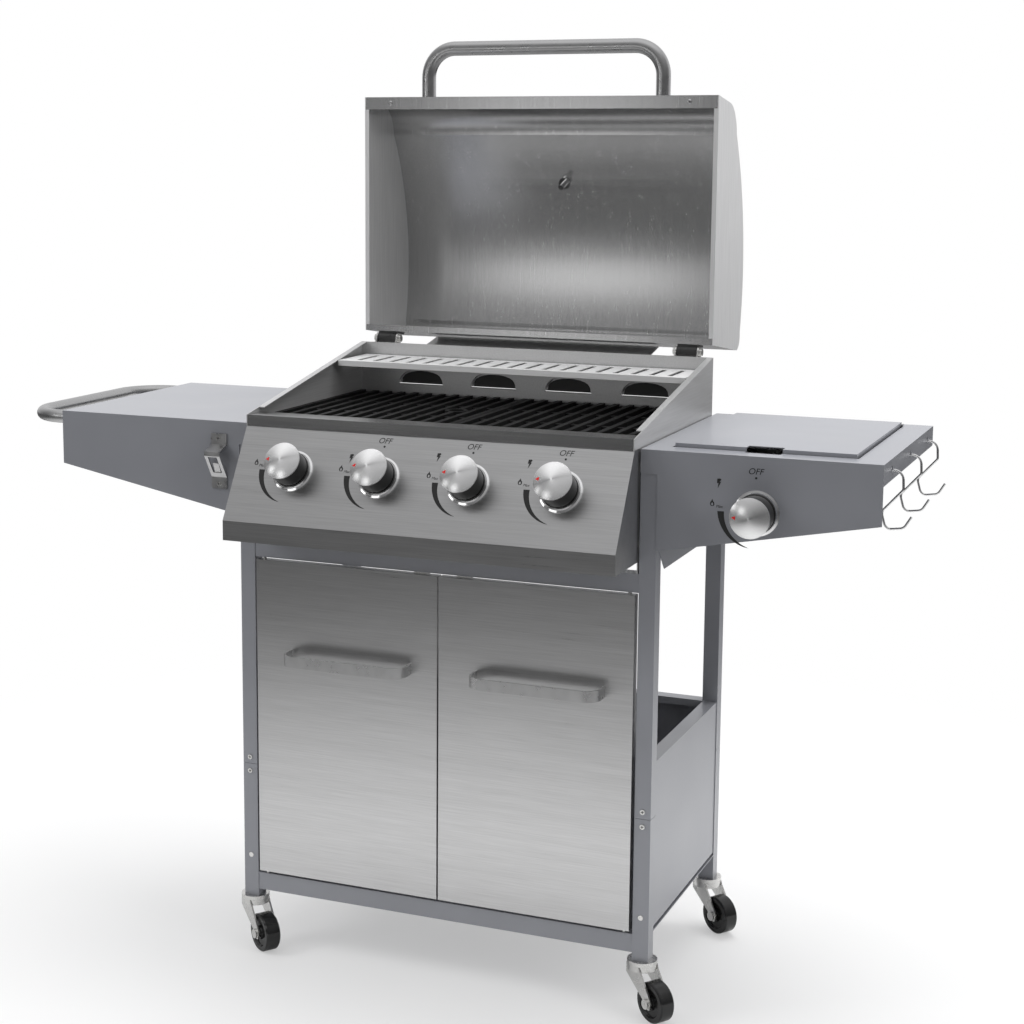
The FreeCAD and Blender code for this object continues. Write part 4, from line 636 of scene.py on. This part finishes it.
# slim plates along both sides of the control panel, measured up the slant in millimetres; they start
# from the lip's lower corner, so they lie inside the panel, behind its face
EDGE_WIDE, EDGE_FROM, EDGE_TO = 1.6, 12, 118
foot = min((vertex.co for vertex in NODES["control_panel"].data.vertices),
           key=lambda co: (round(co.y, 4), co.z))
for side, side_name in SIDES.items():
    edge_x = (box_low.x if side < 0 else box_high.x) - side * EDGE_WIDE / 2 * MM
    plate("panel_edge_%s" % side_name, (edge_x, foot.y, foot.z), PANEL_OUT,
          rectangle(EDGE_WIDE / 2, EDGE_FROM, EDGE_TO), CHROME, "cart", THIN, up=PANEL_UP)

# cross-headed bolts on both ends of each caster's axle
BOLT_RADIUS, BOLT_HEIGHT, BOLT_SUNK, BOLT_NEAR = 3.6, 1.0, 0.9 * MM, 6 * MM


def axle_reach(fork, centre, axle):
    """How far the fork reaches along its axle from the wheel's middle, measured close to the axle."""
    reach = 0.0
    for vertex in NODES[fork].data.vertices:
        arm = vertex.co - centre
        ahead = arm.dot(axle)
        if (arm - axle * ahead).length < BOLT_NEAR:
            reach = max(reach, ahead)
    return reach


for joint in BEHAVIOUR["joints"]:
    if not joint["name"].endswith("_roll"):
        continue
    corner = joint["name"][len("caster_"):-len("_roll")]
    fork = "caster_fork_" + corner
    axle, centre = Vector(joint["axis"]).normalized(), middle("caster_wheel_" + corner)
    face = axle_reach(fork, centre, axle) - BOLT_SUNK
    for side, end in ((-1, "near"), (1, "far")):
        cross_screw("axle_%s_%s" % (corner, end), centre + axle * side * face, axle * side, BOLT_RADIUS,
                    BODY_OF[fork], ZINC, BOLT_HEIGHT)

# ---------------------------------------------------------------- floor, light, camera

FLOOR_RADIUS = 14.0
# radii in metres over which the floor fades to a white glow for the camera, and to dark in reflections
FADE_FROM, FADE_TO, DARK_FROM, DARK_TO = 0.45, 1.5, 0.7, 2.3


def floor_skin():
    """A pale floor that glows white to the camera, as painted light that is partial near the object and full
    away from it, where it melts into the white backdrop.
    """
    look = Look("floor_pale")
    look.set("Roughness", 0.8)
    look.set("Specular IOR Level", 0.1)
    reach = look.add("ShaderNodeVectorMath", operation="LENGTH")
    look.put(reach.inputs[0], look.place)
    away = look.ramp(reach.outputs["Value"], 0.0, 1.0, FADE_FROM, FADE_TO)
    looked_at = look.add("ShaderNodeLightPath").outputs["Is Camera Ray"]
    pale = look.mix(look.noise((2.0, 2.0, 2.0)), grey(0.78), grey(0.82))
    dim = look.ramp(reach.outputs["Value"], 0.0, 1.0, DARK_FROM, DARK_TO)
    far = look.mix(looked_at, grey(0.12), grey(0.8))
    look.set("Base Color", look.mix(dim, pale, far))
    glow = look.add("ShaderNodeEmission")
    glow.inputs["Color"].default_value = (1, 1, 1, 1)
    blend = look.add("ShaderNodeMixShader")
    # painted light: a 40 per cent white glow near the object, all glow far away, for camera rays only
    seen = look.maths("ADD", look.maths("MULTIPLY", away, 0.6), 0.4)
    look.put(blend.inputs[0], look.maths("MULTIPLY", seen, looked_at))
    look.put(blend.inputs[1], look.shader.outputs[0])
    look.put(blend.inputs[2], glow.outputs[0])
    look.put(look.tree.nodes["Material Output"].inputs["Surface"], blend.outputs[0])
    return look.material


def make_floor():
    mesh = bpy.data.meshes.new("floor")
    builder = bmesh.new()
    bmesh.ops.create_circle(builder, cap_ends=True, segments=96, radius=FLOOR_RADIUS)
    builder.to_mesh(mesh)
    builder.free()
    mesh.materials.append(floor_skin())
    floor = bpy.data.objects.new("floor", mesh)
    bpy.context.scene.collection.objects.link(floor)


# grey levels of the studio's walls by height, from level (0) to overhead (1)
HORIZON, ZENITH, ZENITH_FROM = (0.13, 0.13, 0.133, 1), (0.95, 0.95, 0.96, 1), 0.9
WALL_LEVELS = ((0.12, 0.17), (0.4, 0.3), (0.65, 0.4), (0.8, 0.8))
BACKDROP, WHITE = (0.8, 0.8, 0.81, 1), (1, 1, 1, 1)


def make_world():
    """White to the camera; to reflections, dark low walls, a bright ceiling and a bright back wall."""
    world = bpy.data.worlds.new("studio")
    bpy.context.scene.world = world
    world.use_nodes = True
    tree = world.node_tree
    link = tree.links.new
    background = tree.nodes["Background"]
    split = tree.nodes.new("ShaderNodeSeparateXYZ")
    link(tree.nodes.new("ShaderNodeTexCoord").outputs["Generated"], split.inputs["Vector"])

    ramp = tree.nodes.new("ShaderNodeValToRGB")
    link(split.outputs["Z"], ramp.inputs["Fac"])
    low, high = ramp.color_ramp.elements
    low.position, low.color = 0.0, HORIZON
    high.position, high.color = ZENITH_FROM, ZENITH
    for spot, level in WALL_LEVELS:
        ramp.color_ramp.elements.new(spot).color = (level, level, level * 1.01, 1)

    behind = tree.nodes.new("ShaderNodeMapRange")
    behind.inputs["From Min"].default_value = 0.05
    behind.inputs["From Max"].default_value = 0.6
    link(split.outputs["Y"], behind.inputs["Value"])

    def choice(factor, first, second):
        node = tree.nodes.new("ShaderNodeMix")
        node.data_type = "RGBA"
        link(factor, node.inputs["Factor"])
        link(first, node.inputs[6])
        node.inputs[7].default_value = second
        return node.outputs[2]

    walls = choice(behind.outputs["Result"], ramp.outputs["Color"], BACKDROP)
    looked_at = tree.nodes.new("ShaderNodeLightPath").outputs["Is Camera Ray"]
    link(choice(looked_at, walls, WHITE), background.inputs["Color"])
    background.inputs["Strength"].default_value = 1.0


make_floor()
make_world()


def lamp(name, spot, target, size, power):
    """A soft square lamp that lights surfaces without showing as a mirror image."""
    data = bpy.data.lights.new(name, "AREA")
    data.size = size
    data.energy = power
    item = bpy.data.objects.new(name, data)
    bpy.context.scene.collection.objects.link(item)
    item.location = spot
    item.rotation_euler = (Vector(target) - Vector(spot)).to_track_quat("-Z", "Y").to_euler()
    item.visible_camera = False
    item.visible_glossy = False
    return item


BODY_MIDDLE = (0, 0, 0.8)
lamp("key", (-2.6, -1.6, 2.6), BODY_MIDDLE, 1.3, 30)
lamp("fill", (3.2, -1.0, 1.9), (0.3, 0, 0.7), 1.4, 26)
lamp("top", (0.3, 0.6, 3.2), BODY_MIDDLE, 2.0, 80)

# two weak lamps that do mirror in steel, as soft spots inside the open lid
LID_INSIDE = (0.05, 0.25, 1.05)
glow_1 = lamp("glow_1", (-0.75, -2.1, 0.95), LID_INSIDE, 0.6, 1.6)
glow_2 = lamp("glow_2", (-1.6, -1.5, 1.2), LID_INSIDE, 0.5, 1.6)
glow_1.visible_glossy = glow_2.visible_glossy = True

CAMERA_SPOT, CAMERA_TURN, CAMERA_DIP, CAMERA_ROLL = (1.0324, -2.5355, 1.1378), 23.0, 8.7, 0.2
camera_data = bpy.data.cameras.new("camera")
camera_data.sensor_width = 36.0
camera_data.lens = 68.34
camera_data.shift_x = 0.0638
camera_data.shift_y = -0.0695
camera_data.clip_end = 60.0
camera = bpy.data.objects.new("camera", camera_data)
bpy.context.scene.collection.objects.link(camera)
turn, dip, roll = (math.radians(angle) for angle in (CAMERA_TURN, CAMERA_DIP, CAMERA_ROLL))
ahead = Vector((-math.sin(turn) * math.cos(dip), math.cos(turn) * math.cos(dip), -math.sin(dip)))
right = ahead.cross(UP).normalized()
above = right.cross(ahead)
right, above = (right * math.cos(roll) + above * math.sin(roll),
                above * math.cos(roll) - right * math.sin(roll))
facing = Matrix((right, above, -ahead)).transposed().to_4x4()
camera.matrix_world = Matrix.Translation(CAMERA_SPOT) @ facing
bpy.context.scene.camera = camera
bpy.context.scene.view_settings.view_transform = "Standard"
